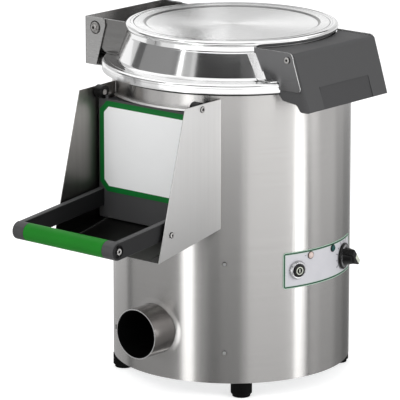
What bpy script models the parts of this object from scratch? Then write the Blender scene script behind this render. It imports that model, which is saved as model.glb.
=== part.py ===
"""Electric potato peeler: an upright steel drum with a hinged lid, a lift-up discharge door and a
spinning peeling plate driven by a belt.

Metres, +Z up. The origin is on the drum's axis, at the underside of the base plate. The discharge
chute looks along -Y, the control panel and the lid's handle lie at +X, the lid's hinge at -X.
"""
from math import asin, atan, cos, pi, radians, sin, sqrt, tan, tau

import bmesh
import bpy
from mathutils import Matrix, Vector

MM = 0.001

# Fits shared by many pieces
GAP = 0.3 * MM
SLIDE_GAP = 0.5 * MM
RUN_GAP = 0.1 * MM
OVERRUN = 5 * MM
MERGE = 0.01 * MM
SHEET_T = 1.5 * MM
PAN_T = 2 * MM

# Drum body and the abrasive lining inside it
BODY_R = 180 * MM
BODY_H = 440 * MM
TOP_HEM_W = 5 * MM
LINER_T = 3 * MM
LINER_TOP_DROP = 8 * MM

# Base plate, its fixing tabs and the rivets that hold the tabs
BASE_RIM_H = 15 * MM
TAB_W = 30 * MM
BASE_TAB_H = 60 * MM
RIVET_ANGLES = [radians(angle) for angle in (36.5, 143.5, 216.5, 323.5)]
LOW_RIVET_Z = 47.4 * MM
RIVET_R = 2 * MM
RIVET_HEAD_R = 3 * MM
RIVET_HEAD_H = 1.6 * MM

# Feet
FOOT_H = 23 * MM
FOOT_R = 16 * MM
FOOT_PROUD = 1 * MM
FOOT_PAD_R = 13.5 * MM
FOOT_PAD_H = 4 * MM
FOOT_ROUND = 2 * MM
FOOT_STUD_R = 4 * MM
FOOT_STUD_H = 12 * MM
FOOT_NAMES_AND_ANGLES = [("front_left", radians(-45)), ("front_right", radians(45)),
                         ("rear_right", radians(135)), ("rear_left", radians(225))]

# Sump pan under the peeling plate
SUMP_BELOW_OPENING = 38 * MM
SUMP_WALL_H = 16 * MM
SUMP_TAB_H = 27 * MM
HIGH_RIVET_UP = 13 * MM
SUMP_HUB_R = 18 * MM
SUMP_HUB_H = 18 * MM

# Drain: a drop under the sump, a bend and the outlet through the wall
DRAIN_R = 38.05 * MM
DRAIN_T = 1.5 * MM
DRAIN_Z = 73 * MM
DRAIN_DROP_IN = 68 * MM
DRAIN_BEND_R = 45 * MM
DRAIN_REACH = 41 * MM

# Rotor: shaft, peeling plate and its nut
SHAFT_R = 10 * MM
SHAFT_FOOT_Z = 14 * MM
SHAFT_TOP_R = 7 * MM
PLATE_LIFT = 3 * MM
PLATE_T = 5 * MM
PLATE_EDGE_GAP = 3 * MM
PLATE_WAVE_H = 7 * MM
PLATE_WAVES = 3
PLATE_HUB_R = 30 * MM
PLATE_NUT_R = 16 * MM
PLATE_NUT_H = 12 * MM

# Bearing housing under the sump
BEARING_R = 21 * MM
SEAL_H = 8 * MM
HOUSING_R = 29 * MM
HOUSING_H_SHARE = 0.645
HOUSING_FLANGE_R = 55 * MM
HOUSING_FLANGE_T = 8 * MM

# Belt drive
PULLEY_Z = 20 * MM
PULLEY_W = 22 * MM
PULLEY_R_SHARE = 0.658
PULLEY_HUB_R = 22 * MM
PULLEY_WEB_T = 8 * MM
PULLEY_RIM_T = 9 * MM
PULLEY_LIP = 1.5 * MM
BELT_RATIO = 3
BELT_T = 4 * MM
BELT_EDGE = 2 * MM

# Motor and its bracket
MOTOR_R_SHARE = 0.322
MOTOR_WALL_GAP = 8 * MM
MOTOR_FIN_H = 4 * MM
MOTOR_FINS = 12
MOTOR_HEAD_ROOM = 18.7 * MM
MOTOR_FLANGE_T = 8 * MM
MOTOR_CAP_H = 22 * MM
MOTOR_SHAFT_R = 7 * MM
MOTOR_SHAFT_HOLE_R = 20 * MM
MOTOR_SHAFT_IN = 6 * MM
BRACKET_T = 4 * MM
BRACKET_TOP_Z = 56 * MM
BRACKET_SIDE_W = 8 * MM
BRACKET_FRONT_L = 52 * MM
BRACKET_BACK_L = 46 * MM
BRACKET_FOOT_W = 14 * MM

# Electrics inside the base
ELECTRICS_BELT_GAP = 9 * MM
ELECTRICS_WALL_GAP = 44.5 * MM
ELECTRICS_HALF_W = 42 * MM
ELECTRICS_H = 72 * MM
ELECTRICS_ROUND = 4 * MM

# Discharge opening and the lip above it
OPENING_HALF_W_SHARE = 0.5444
OPENING_FOOT_SHARE = 0.534
OPENING_H_SHARE = 0.4
LIP_T = 2.5 * MM
LIP_W = 4.2 * MM

# Discharge chute: two cheeks and a sloping floor
CHEEK_GAP = 3.3 * MM
CHUTE_REACH = 107 * MM
CHUTE_TOP_REACH = 48 * MM
CHUTE_FRONT_DROP = 22 * MM
CHUTE_SLOPE = radians(10.2)
CHUTE_TOP_ABOVE = 21 * MM
CHUTE_TOP_FALL = 3 * MM
GLIDE_R = 6 * MM
GLIDE_BACK = 28.5 * MM
GLIDE_UP = 36 * MM
CHUTE_SCREW_R = 2 * MM
CHUTE_SCREW_HEAD_R = 3.8 * MM
CHUTE_SCREW_HEAD_H = 1.5 * MM

# Discharge door, its pivots and its plug
DOOR_PIVOT_OUT = 10 * MM
DOOR_PIVOT_ABOVE = 11.5 * MM
PIVOT_BUSH_R = 9.75 * MM
PIVOT_BUSH_W = 14 * MM
PIVOT_BUSH_INSET = 1.3 * MM
PIVOT_SCREW_R = 4 * MM
PIVOT_SCREW_HEAD_R = 4.8 * MM
PIVOT_SCREW_HEAD_H = 1.6 * MM
PANEL_T = 3.5 * MM
PANEL_FRONT_OUT = 10.5 * MM
PANEL_BELOW_OPENING = 3 * MM
PANEL_ABOVE_OPENING = 7 * MM
PANEL_DIP = 5.5 * MM
PIVOT_LUG_W = 6 * MM
PLUG_SIDE_GAP = 2.5 * MM
PLUG_FOOT_GAP = 6 * MM
PLUG_TOP_GAP = 2 * MM
LABEL_SIDE_IN = 3 * MM
LABEL_FOOT_UP = 41 * MM
LABEL_TOP_DROP = 8 * MM
LABEL_T = 0.6 * MM
LABEL_CORNER = 14 * MM

# Handle frame of the door
ARM_SIDE_IN = 0.5 * MM
ARM_T = 9.5 * MM
ARM_TOP_UP = 45 * MM
ARM_FOOT_UP = 18 * MM
HANDLE_REACH = 176.5 * MM
HANDLE_UP = 13.5 * MM
GRIP_R = 13.25 * MM
GRIP_END_IN = 21.5 * MM
GRIP_ROD_R = 4 * MM
HANDLE_SCREW_R = 4.7 * MM
HANDLE_SCREW_H = 1.5 * MM
HANDLE_SOCKET_R = 2 * MM

# Lid: rim, ledge, cone, neck, bead and dished top
LID_LIFT = 0.6 * MM
LID_T = 1.5 * MM
RIM_OUT = 15.3 * MM
RIM_H = 15 * MM
RIM_ROUND = 2.8 * MM
LEDGE_W = 21 * MM
FOOT_ROUND_LID = 3 * MM
CONE_FOOT_IN = 9 * MM
CONE_TOP_IN = 23 * MM
CONE_H = 38.5 * MM
NECK_H = 8 * MM
NECK_IN = 1 * MM
BEAD_R = 5 * MM
BEAD_OUT = 2.7 * MM
RING_IN = 30 * MM
RING_FALL = 1 * MM
DISC_IN = 52.4 * MM
DISC_STEP = 1.4 * MM
DISC_DISH = 1.2 * MM
GASKET_IN = 6 * MM
GASKET_OUT = 6 * MM

# Lid hinge: fixed bracket, bolts and the lid's ears
HINGE_IN = 1.3 * MM
HINGE_UP = 50.9 * MM
BRACKET_WALL_OUT = 18.7 * MM
BRACKET_HALF_L = 90.75 * MM
BRACKET_ABOVE_AXIS = 15.5 * MM
BRACKET_SHELF_DROP = 5.6 * MM
BRACKET_TOP_L = 39 * MM
BRACKET_TIP_L = 40 * MM
BRACKET_TIP_DROP = 10 * MM
BRACKET_FOOT_L = 21.5 * MM
HINGE_EAR_GAP = 1 * MM
HINGE_EAR_R = 15 * MM
HINGE_EAR_HEEL = 18 * MM
HINGE_BOLT_R = 4 * MM
HINGE_WASHER_R = 8 * MM
HINGE_WASHER_T = 1.5 * MM
HINGE_HEAD_R = 5 * MM
HINGE_HEAD_H = 3 * MM
HINGE_NUT_R = 7 * MM
HINGE_NUT_T = 5 * MM
EAR_FLANGE_W = 10 * MM
EAR_LID_GAP = 0.4 * MM

# Lid handle: moulded cover, its two ears and screws
COVER_HALF_W = 95.7 * MM
COVER_WALL = 2.5 * MM
COVER_TOP_UP = 59.9 * MM
COVER_RIDGE_OUT = 1.7 * MM
COVER_NOSE_OUT = 27.7 * MM
COVER_DROP = 23.6 * MM
COVER_SHOULDER_DROP = 13.1 * MM
COVER_CREST_R = 5 * MM
COVER_STEP_BACK = 15 * MM
COVER_HEEL_BACK = 28 * MM
COVER_BACK = 56 * MM
COVER_LID_GAP = 0.8 * MM
COVER_RECESS_HALF_W = 58 * MM
COVER_RECESS_H = 32 * MM
COVER_RECESS_D = 1 * MM
HANDLE_EAR_TOP_UP = 61.4 * MM
HANDLE_EAR_TOP_IN = 15.3 * MM
HANDLE_EAR_FRONT_IN = 0.7 * MM
HANDLE_EAR_FOOT_OUT = 13.5 * MM
HANDLE_EAR_SIDE_DROP = 7 * MM
HANDLE_EAR_FOOT_UP = 5 * MM
HANDLE_EAR_ROUND = 5 * MM
EAR_NOTCH_R = 11 * MM
COVER_SCREW_IN = 10.8 * MM
COVER_SCREW_DROP = 12 * MM
COVER_SCREW_R = 2.5 * MM
COVER_SCREW_HEAD_R = 5 * MM
COVER_SCREW_HEAD_H = 2 * MM
COVER_SCREW_L = 10 * MM

# Safety sensors: a magnet in each moving cover and a reed switch on the drum
MAGNET_R = 4.5 * MM
MAGNET_T = 4 * MM
SENSOR_T = 11 * MM
SENSOR_HALF_L = 17 * MM
SENSOR_H = 13 * MM
LID_MAGNET_H = 11 * MM
LID_MAGNET_T = 7 * MM
LID_MAGNET_HALF_L = 10 * MM
DOOR_SENSOR_FORWARD = 36 * MM
DOOR_SENSOR_UP = 31 * MM

# Control panel on the drum's side
PANEL_ANGLE = radians(91)
LABEL_SPREAD = radians(26.3)
PANEL_BELOW_SUMP = 1.7 * MM
PANEL_LABEL_H = 54.8 * MM
PANEL_LABEL_T = 0.5 * MM
BUTTON_ANGLE = radians(72.3)
BUTTON_UP = 27.1 * MM
BEZEL_R = 14.3 * MM
BEZEL_H = 5 * MM
BEZEL_FACE_R = 12 * MM
BARREL_R = 11 * MM
BARREL_L = 18 * MM
BUTTON_R = 9.7 * MM
BUTTON_PROUD = 1.5 * MM
BUTTON_TRAVEL = 3 * MM
CONTACT_BLOCK_D = 36 * MM
CONTACT_BLOCK_HALF_W = 14 * MM
CONTACT_BLOCK_HALF_H = 19 * MM
LAMP_ANGLES_AND_UPS = [("white_lamp", radians(80.1), 46 * MM), ("green_lamp", radians(96.2), 46.7 * MM)]
LAMP_R = 5.7 * MM
LAMP_H = 2.6 * MM
LAMP_STEM_R = 4.5 * MM
LAMP_STEM_L = 16 * MM
KNOB_ANGLE = radians(107.5)
KNOB_UP = 26.5 * MM
KNOB_SKIRT_R = 20 * MM
KNOB_SKIRT_H = 4 * MM
KNOB_R = 15 * MM
KNOB_H = 13 * MM
KNOB_GRIP_T = 9 * MM
KNOB_GRIP_TURN = radians(48)
KNOB_GRIP_HALF_L = 17 * MM
KNOB_GRIP_H = 9 * MM
KNOB_SHAFT_R = 3 * MM
KNOB_SHAFT_L = 22 * MM
TIMER_HALF_W = 22 * MM
TIMER_D = 32 * MM

# Rear fittings
INLET_ANGLE = radians(180)
INLET_DROP = 55 * MM
INLET_R = 13.2 * MM
INLET_BORE_R = 8 * MM
INLET_L = 26 * MM
INLET_FLANGE_R = 19 * MM
INLET_FLANGE_T = 6 * MM
INLET_INSIDE_L = 12 * MM
GLAND_ANGLE = radians(180)
GLAND_Z = 40 * MM
GLAND_R = 10 * MM
GLAND_BORE_R = 5.5 * MM
GLAND_HEX_R = 14 * MM
GLAND_HEX_H = 6 * MM
GLAND_CAP_R = 11.5 * MM
GLAND_CAP_H = 14 * MM
GLAND_INSIDE_L = 10 * MM

# Facets round a full turn
DRUM_STEPS = 40
LID_STEPS = 40
PIPE_STEPS = 20
FIT_STEPS = 24
ROUND_STEPS = 16
SMALL_STEPS = 12
SCREW_STEPS = 8

# Places that several pieces share
WALL_IN_R = BODY_R - SHEET_T
LINER_R = WALL_IN_R - GAP
LINER_IN_R = LINER_R - LINER_T
BASE_TOP_Z = PAN_T
OPENING_HALF_W = BODY_R * OPENING_HALF_W_SHARE
OPENING_Z = BODY_H * OPENING_FOOT_SHARE
OPENING_H = BODY_H * OPENING_H_SHARE
SUMP_Z = OPENING_Z - SUMP_BELOW_OPENING
SUMP_TOP_Z = SUMP_Z + PAN_T
HIGH_RIVET_Z = SUMP_Z - SUMP_TAB_H + HIGH_RIVET_UP
PLATE_Z = SUMP_Z + SUMP_HUB_H + PLATE_LIFT
OPENING_TOP_Z = OPENING_Z + OPENING_H
DOOR_PIVOT_Y = -(BODY_R + DOOR_PIVOT_OUT)
DOOR_PIVOT_Z = OPENING_TOP_Z + DOOR_PIVOT_ABOVE
PANEL_FRONT_Y = -(BODY_R + PANEL_FRONT_OUT)
PANEL_FOOT_Z = OPENING_Z - PANEL_BELOW_OPENING
PANEL_TOP_Z = OPENING_TOP_Z + PANEL_ABOVE_OPENING
HANDLE_Y = PANEL_FRONT_Y - HANDLE_REACH
HANDLE_Z = PANEL_FOOT_Z + HANDLE_UP
CHUTE_FRONT_Y = -(BODY_R + CHUTE_REACH)
CHUTE_FRONT_Z = OPENING_Z - CHUTE_FRONT_DROP
CHEEK_IN_X = OPENING_HALF_W + CHEEK_GAP
CHUTE_HALF_W = CHEEK_IN_X + SHEET_T
PANEL_HALF_W = OPENING_HALF_W
LABEL_HALF_W = PANEL_HALF_W - LABEL_SIDE_IN
ARM_OUT_HALF_W = PANEL_HALF_W - ARM_SIDE_IN
GRIP_HALF_L = ARM_OUT_HALF_W - GRIP_END_IN
DRAIN_DROP_Y = BODY_R - DRAIN_DROP_IN
MOTOR_R = BODY_R * MOTOR_R_SHARE
MOTOR_Y = BODY_R - MOTOR_R - MOTOR_WALL_GAP
MOTOR_BODY_H = SUMP_Z - MOTOR_HEAD_ROOM - MOTOR_CAP_H - MOTOR_FLANGE_T - BRACKET_TOP_Z - GAP
PULLEY_R = MOTOR_Y * PULLEY_R_SHARE
MOTOR_PULLEY_R = PULLEY_R / BELT_RATIO
HOUSING_H = (SUMP_Z - PULLEY_Z - PULLEY_W) * HOUSING_H_SHARE
BRACKET_HALF_W = MOTOR_R + BRACKET_SIDE_W
BRACKET_FRONT_Y = MOTOR_Y - BRACKET_FRONT_L
BRACKET_BACK_Y = MOTOR_Y + BRACKET_BACK_L
ELECTRICS_X = PULLEY_R + BELT_T + ELECTRICS_BELT_GAP
ELECTRICS_D = WALL_IN_R - ELECTRICS_WALL_GAP - ELECTRICS_X
INLET_Z = BODY_H - INLET_DROP
PANEL_LABEL_Z = SUMP_Z - PANEL_BELOW_SUMP - PANEL_LABEL_H
BUTTON_Z = PANEL_LABEL_Z + BUTTON_UP
KNOB_Z = PANEL_LABEL_Z + KNOB_UP
RIM_R = BODY_R + RIM_OUT
LID_Z = BODY_H + LID_LIFT
LEDGE_Z = LID_Z + RIM_H
CONE_FOOT_R = BODY_R - CONE_FOOT_IN
CONE_TOP_R = BODY_R - CONE_TOP_IN
CONE_TOP_Z = LEDGE_Z + CONE_H
BEAD_Z = CONE_TOP_Z + NECK_H
BEAD_OUT_R = CONE_TOP_R + BEAD_OUT
HINGE_X = -(RIM_R - HINGE_IN)
HINGE_Z = LID_Z + HINGE_UP
BRACKET_X = -(RIM_R + BRACKET_WALL_OUT)
HINGE_EAR_Y = BRACKET_HALF_L - SHEET_T - HINGE_EAR_GAP
HANDLE_EAR_Y = COVER_HALF_W + GAP
KNOB_FACE_R = BODY_R + GAP + PANEL_LABEL_T + GAP

STEEL = ((0.62, 0.62, 0.61), 0.32, 1.0)
POLISHED = ((0.8, 0.8, 0.81), 0.08, 1.0)
ZINC = ((0.55, 0.56, 0.57), 0.4, 1.0)
CAST = ((0.32, 0.33, 0.35), 0.6, 0.7)
BLACK_PLASTIC = ((0.02, 0.02, 0.02), 0.45, 0.0)
GREY_PLASTIC = ((0.105, 0.105, 0.11), 0.5, 0.0)
GREEN_PLASTIC = ((0.02, 0.22, 0.025), 0.45, 0.0)
RUBBER = ((0.015, 0.015, 0.015), 0.8, 0.0)
LABEL_WHITE = ((0.72, 0.73, 0.75), 0.4, 0.0)
LAMP_WHITE = ((0.75, 0.62, 0.6), 0.2, 0.0)
LAMP_GREEN = ((0.02, 0.2, 0.17), 0.2, 0.0)
ABRASIVE = ((0.12, 0.12, 0.13), 0.95, 0.0)
MOTOR_BLUE = ((0.05, 0.1, 0.16), 0.5, 0.0)
OFF_WHITE = ((0.7, 0.7, 0.68), 0.5, 0.0)

for leftover in list(bpy.data.objects):
    bpy.data.objects.remove(leftover)


# Tools

def paint(name, finish):
    """A Principled material with one colour, roughness and metallic value."""
    material = bpy.data.materials.get(name)
    if material:
        return material
    colour, roughness, metallic = finish
    material = bpy.data.materials.new(name)
    material.use_nodes = True
    shader = material.node_tree.nodes["Principled BSDF"]
    shader.inputs["Base Color"].default_value = (*colour, 1.0)
    shader.inputs["Roughness"].default_value = roughness
    shader.inputs["Metallic"].default_value = metallic
    return material


def axis_empty(name, place):
    """The joint axis that a moving piece hangs from."""
    empty = bpy.data.objects.new(name, None)
    empty.location = place
    bpy.context.scene.collection.objects.link(empty)
    return empty


def add(name, shape, finish, axis=None):
    """Make a named object from a bmesh, riding on an axis empty when it moves."""
    bmesh.ops.remove_doubles(shape, verts=shape.verts, dist=MERGE)
    bmesh.ops.recalc_face_normals(shape, faces=shape.faces)
    mesh = bpy.data.meshes.new(name)
    shape.to_mesh(mesh)
    shape.free()
    mesh.shade_smooth()
    mesh.set_sharp_from_angle(angle=radians(35))
    obj = bpy.data.objects.new(name, mesh)
    bpy.context.scene.collection.objects.link(obj)
    mesh.materials.append(paint(name + "_finish", finish))
    if axis:
        obj.parent = axis
        obj.matrix_parent_inverse = Matrix.Translation(-axis.location)
    return obj


def guide(name, shape):
    """A cutter, or a shape that is joined to a piece, and is no piece itself."""
    obj = add(name, shape, STEEL)
    obj.hide_render = True
    obj.display_type = "WIRE"
    return obj


def combine(piece, other, how="DIFFERENCE"):
    """Cut, join or intersect a piece with a guide."""
    boolean = piece.modifiers.new(how.lower() + "_" + other.name, "BOOLEAN")
    boolean.operation = how
    boolean.object = other
    boolean.solver = "EXACT"
    return piece


def turned(outline, steps):
    """Spin an outline of (radius, height) points about Z. It may start and end on the axis."""
    shape = bmesh.new()
    points = [shape.verts.new((radius, 0, height)) for radius, height in outline]
    pairs = list(zip(points, points[1:]))
    if outline[0][0] > 0:
        pairs.append((points[-1], points[0]))
    edges = [shape.edges.new(pair) for pair in pairs]
    bmesh.ops.spin(shape, geom=points + edges, axis=(0, 0, 1), cent=(0, 0, 0), angle=tau, steps=steps,
                   use_merge=True)
    bmesh.ops.remove_doubles(shape, verts=shape.verts, dist=MERGE)
    return shape


def ring(inner_r, outer_r, low, high, steps):
    """A plain ring about Z."""
    return turned([(outer_r, low), (outer_r, high), (inner_r, high), (inner_r, low)], steps)


def disc(radius, low, high, steps):
    """A plain disc about Z."""
    return turned([(0, low), (radius, low), (radius, high), (0, high)], steps)


def extruded(outline, plane, low, high):
    """Extrude an outline. Plane X takes (y, z) points, plane Y (x, z) points and plane Z (x, y) points."""
    place = {"X": lambda u, v: (low, u, v),
             "Y": lambda u, v: (u, low, v),
             "Z": lambda u, v: (u, v, low)}[plane]
    along = {"X": Vector((1, 0, 0)), "Y": Vector((0, 1, 0)), "Z": Vector((0, 0, 1))}[plane]
    shape = bmesh.new()
    face = shape.faces.new([shape.verts.new(place(u, v)) for u, v in outline])
    grown = bmesh.ops.extrude_face_region(shape, geom=[face])["geom"]
    corners = [item for item in grown if isinstance(item, bmesh.types.BMVert)]
    bmesh.ops.translate(shape, verts=corners, vec=along * (high - low))
    return shape


def block(low, high):
    """A box between two corners."""
    outline = [(low[0], low[1]), (high[0], low[1]), (high[0], high[1]), (low[0], high[1])]
    return extruded(outline, "Z", low[2], high[2])


def arc(centre, radius, start, end, steps):
    """Points along an arc in an outline's own plane, angles counted from its first axis."""
    turn = (end - start) / steps
    return [(centre[0] + radius * cos(start + turn * i), centre[1] + radius * sin(start + turn * i))
            for i in range(steps + 1)]


def moved(shape, matrix):
    """The shape put where a matrix says."""
    bmesh.ops.transform(shape, matrix=matrix, verts=shape.verts)
    return shape


def lying(shape, direction, place):
    """Turn a shape that was made about Z so that it lies along a direction, from a place."""
    turn = Vector((0, 0, 1)).rotation_difference(Vector(direction)).to_matrix().to_4x4()
    return moved(shape, Matrix.Translation(place) @ turn)


def facing_out(angle, height, radius=0):
    """The frame on the drum's side: its Z looks outwards, its Y up. Angles count from -Y towards +X."""
    place = Vector((radius * sin(angle), -radius * cos(angle), height))
    return Matrix.Translation(place) @ Matrix.Rotation(angle, 4, "Z") @ Matrix.Rotation(pi / 2, 4, "X")


def add_pair(name, ends, make, finish, axis=None):
    """The same solid on each side, each as its own object."""
    return [add(f"{name}_{end}", make(side), finish, axis) for side, end in zip((-1, 1), ends)]


def side_span(side, near, far):
    """Low and high ends of a stretch that is mirrored about zero."""
    return sorted((side * near, side * far))


def between_tabs(name, low, high):
    """A cutter that leaves only four fixing tabs of a skirt along the drum's wall."""
    cutter = guide(name, ring(WALL_IN_R - OVERRUN, BODY_R, low, high, DRUM_STEPS))
    for i, angle in enumerate(RIVET_ANGLES[:2]):
        bar = block((-TAB_W / 2, -BODY_R - OVERRUN, low - OVERRUN),
                    (TAB_W / 2, BODY_R + OVERRUN, high + OVERRUN))
        combine(cutter, guide(f"{name}_bar_{i}", moved(bar, Matrix.Rotation(angle, 4, "Z"))))
    return cutter


# Axes of the moving pieces

lid_axis = axis_empty("lid_axis", (HINGE_X, 0, HINGE_Z))
door_axis = axis_empty("door_axis", (0, DOOR_PIVOT_Y, DOOR_PIVOT_Z))
plate_axis = axis_empty("plate_axis", (0, 0, PLATE_Z))
motor_axis = axis_empty("motor_axis", (0, MOTOR_Y, BRACKET_TOP_Z))
knob_axis = axis_empty("knob_axis", facing_out(KNOB_ANGLE, KNOB_Z, KNOB_FACE_R).translation)
button_axis = axis_empty("button_axis", facing_out(BUTTON_ANGLE, BUTTON_Z, KNOB_FACE_R).translation)


# Drum body

def opening_cutter(name):
    return guide(name, block((-OPENING_HALF_W, -BODY_R - OVERRUN, OPENING_Z),
                             (OPENING_HALF_W, -BODY_R / 2, OPENING_TOP_Z)))


def side_hole(name, angle, height, radius, steps=ROUND_STEPS):
    """A round cutter through the drum's wall, square to it."""
    length = BODY_R - LINER_IN_R + 2 * OVERRUN
    shape = disc(radius, -length, OVERRUN, steps)
    return guide(name, moved(shape, facing_out(angle, height, BODY_R)))


def make_body_shell():
    outline = [(BODY_R, BODY_H), (BODY_R, 0), (WALL_IN_R, 0), (WALL_IN_R, BODY_H - SHEET_T),
               (WALL_IN_R - TOP_HEM_W, BODY_H - SHEET_T), (WALL_IN_R - TOP_HEM_W, BODY_H)]
    shell = add("body_shell", turned(outline, DRUM_STEPS), STEEL)
    combine(shell, opening_cutter("opening_in_shell"))
    combine(shell, side_hole("drain_hole", 0, DRAIN_Z, DRAIN_R + GAP, PIPE_STEPS))
    combine(shell, side_hole("bezel_hole", BUTTON_ANGLE, BUTTON_Z, BARREL_R + GAP))
    combine(shell, side_hole("knob_hole", KNOB_ANGLE, KNOB_Z, KNOB_SHAFT_R + SLIDE_GAP, SCREW_STEPS))
    for name, angle, up in LAMP_ANGLES_AND_UPS:
        combine(shell, side_hole(name + "_hole", angle, PANEL_LABEL_Z + up, LAMP_STEM_R + GAP, SMALL_STEPS))
    combine(shell, side_hole("inlet_hole", INLET_ANGLE, INLET_Z, INLET_R + GAP, SMALL_STEPS))
    combine(shell, side_hole("gland_hole", GLAND_ANGLE, GLAND_Z, GLAND_R + GAP, SMALL_STEPS))
    for i, angle in enumerate(RIVET_ANGLES):
        for level, height in (("low", LOW_RIVET_Z), ("high", HIGH_RIVET_Z)):
            hole = side_hole(f"{level}_rivet_hole_{i}", angle, height, RIVET_R + GAP, SCREW_STEPS)
            combine(shell, hole)


def make_base_plate():
    outer = WALL_IN_R - GAP
    inner = outer - PAN_T
    outline = [(0, 0), (outer, 0), (outer, BASE_TAB_H), (inner, BASE_TAB_H), (inner, PAN_T), (0, PAN_T)]
    plate = add("base_plate", turned(outline, DRUM_STEPS), STEEL)
    combine(plate, between_tabs("between_base_tabs", BASE_RIM_H, BASE_TAB_H + OVERRUN))
    for name, angle in FOOT_NAMES_AND_ANGLES:
        hole = disc(FOOT_STUD_R + GAP, -OVERRUN, OVERRUN, ROUND_STEPS)
        combine(plate, guide(f"stud_hole_{name}", moved(hole, Matrix.Translation(foot_place(angle)))))
    add_rivets(plate, LOW_RIVET_Z)


def add_rivets(piece, height):
    """Rivets that stand on a piece's four tabs and hold it to the drum, their heads outside."""
    root = -SHEET_T - GAP - PAN_T / 2
    outline = [(0, root), (RIVET_R, root), (RIVET_R, GAP), (RIVET_HEAD_R, GAP), (RIVET_R, GAP + RIVET_HEAD_H),
               (0, GAP + RIVET_HEAD_H)]
    for i, angle in enumerate(RIVET_ANGLES):
        rivet = moved(turned(outline, SCREW_STEPS), facing_out(angle, height, BODY_R))
        combine(piece, guide(f"{piece.name}_rivet_{i}", rivet), "UNION")


def foot_place(angle):
    radius = BODY_R + FOOT_PROUD - FOOT_R
    return Vector((radius * sin(angle), -radius * cos(angle), 0))


def make_feet():
    outline = [(0, -FOOT_H), (FOOT_PAD_R - FOOT_ROUND, -FOOT_H), (FOOT_PAD_R, -FOOT_H + FOOT_ROUND),
               (FOOT_PAD_R, -FOOT_H + FOOT_PAD_H), (FOOT_R, -FOOT_H + FOOT_PAD_H), (FOOT_R, -GAP),
               (FOOT_STUD_R, -GAP), (FOOT_STUD_R, FOOT_STUD_H), (0, FOOT_STUD_H)]
    for name, angle in FOOT_NAMES_AND_ANGLES:
        foot = turned(outline, ROUND_STEPS)
        add("foot_" + name, moved(foot, Matrix.Translation(foot_place(angle))), RUBBER)


def make_liner():
    top = BODY_H - LINER_TOP_DROP
    liner = add("abrasive_liner", ring(LINER_IN_R, LINER_R, SUMP_TOP_Z + SUMP_WALL_H, top, DRUM_STEPS),
                ABRASIVE)
    combine(liner, opening_cutter("opening_in_liner"))
    combine(liner, side_hole("inlet_hole_in_liner", INLET_ANGLE, INLET_Z, INLET_R + GAP, SMALL_STEPS))


def make_sump_pan():
    outer = LINER_R
    inner = outer - PAN_T
    hub_in = SUMP_HUB_R - PAN_T
    tab_foot = SUMP_Z - SUMP_TAB_H
    wall_top = SUMP_TOP_Z + SUMP_WALL_H - GAP
    outline = [(outer, tab_foot), (outer, wall_top), (inner, wall_top), (inner, SUMP_TOP_Z),
               (SUMP_HUB_R, SUMP_TOP_Z), (SUMP_HUB_R, SUMP_Z + SUMP_HUB_H), (hub_in, SUMP_Z + SUMP_HUB_H),
               (hub_in, SUMP_Z), (inner, SUMP_Z), (inner, tab_foot)]
    pan = add("sump_pan", turned(outline, DRUM_STEPS), STEEL)
    combine(pan, between_tabs("between_sump_tabs", tab_foot - OVERRUN, SUMP_Z - PAN_T))
    hole = disc(DRAIN_R - DRAIN_T, SUMP_Z - OVERRUN, SUMP_TOP_Z + OVERRUN, PIPE_STEPS)
    combine(pan, guide("sump_drain_hole", moved(hole, Matrix.Translation((0, -DRAIN_DROP_Y, 0)))))
    add_rivets(pan, HIGH_RIVET_Z)


def drain_path():
    """The drain's centre line: down under the sump, round the bend and out through the wall."""
    bend_centre = (-DRAIN_DROP_Y - DRAIN_BEND_R, DRAIN_Z + DRAIN_BEND_R)
    bend = arc(bend_centre, DRAIN_BEND_R, 0, -pi / 2, PIPE_STEPS // 4)
    return [(-DRAIN_DROP_Y, SUMP_Z - GAP)] + bend + [(-BODY_R - DRAIN_REACH, DRAIN_Z)]


def make_drain_pipe():
    pipe = bmesh.new()
    path = [Vector((0, y, z)) for y, z in drain_path()]
    sections = []
    for i, point in enumerate(path):
        before = path[max(i - 1, 0)]
        after = path[min(i + 1, len(path) - 1)]
        along = ((point - before).normalized() + (after - point).normalized()).normalized()
        across = Vector((1, 0, 0))
        upright = along.cross(across)
        for radius in (DRAIN_R, DRAIN_R - DRAIN_T):
            turns = [tau * step / PIPE_STEPS + pi / 2 for step in range(PIPE_STEPS)]
            ring_spots = [point + (across * cos(a) + upright * sin(a)) * radius for a in turns]
            sections.append([pipe.verts.new(spot) for spot in ring_spots])
    walls = [sections[0::2], sections[1::2]]
    for wall in walls:
        for loop, following in zip(wall, wall[1:]):
            bridge(pipe, loop, following)
    bridge(pipe, walls[0][0], walls[1][0])
    bridge(pipe, walls[0][-1], walls[1][-1])
    add("drain_pipe", pipe, STEEL)


def bridge(shape, loop, following):
    """Join two closed loops of the same count with a band of faces."""
    count = len(loop)
    for i in range(count):
        j = (i + 1) % count
        shape.faces.new((loop[i], loop[j], following[j], following[i]))


# Discharge opening, chute and door

def make_opening_lip():
    low = OPENING_TOP_Z + GAP
    lip = add("opening_lip", ring(BODY_R + GAP, BODY_R + GAP + LIP_W, low, low + LIP_T, DRUM_STEPS), POLISHED)
    span = block((-OPENING_HALF_W, -BODY_R - LIP_W - OVERRUN, low - OVERRUN),
                 (OPENING_HALF_W, 0, low + OVERRUN))
    combine(lip, guide("lip_span", span), "INTERSECT")


def chute_floor_z(y):
    return CHUTE_FRONT_Z + (y - CHUTE_FRONT_Y) * tan(CHUTE_SLOPE)


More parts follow.
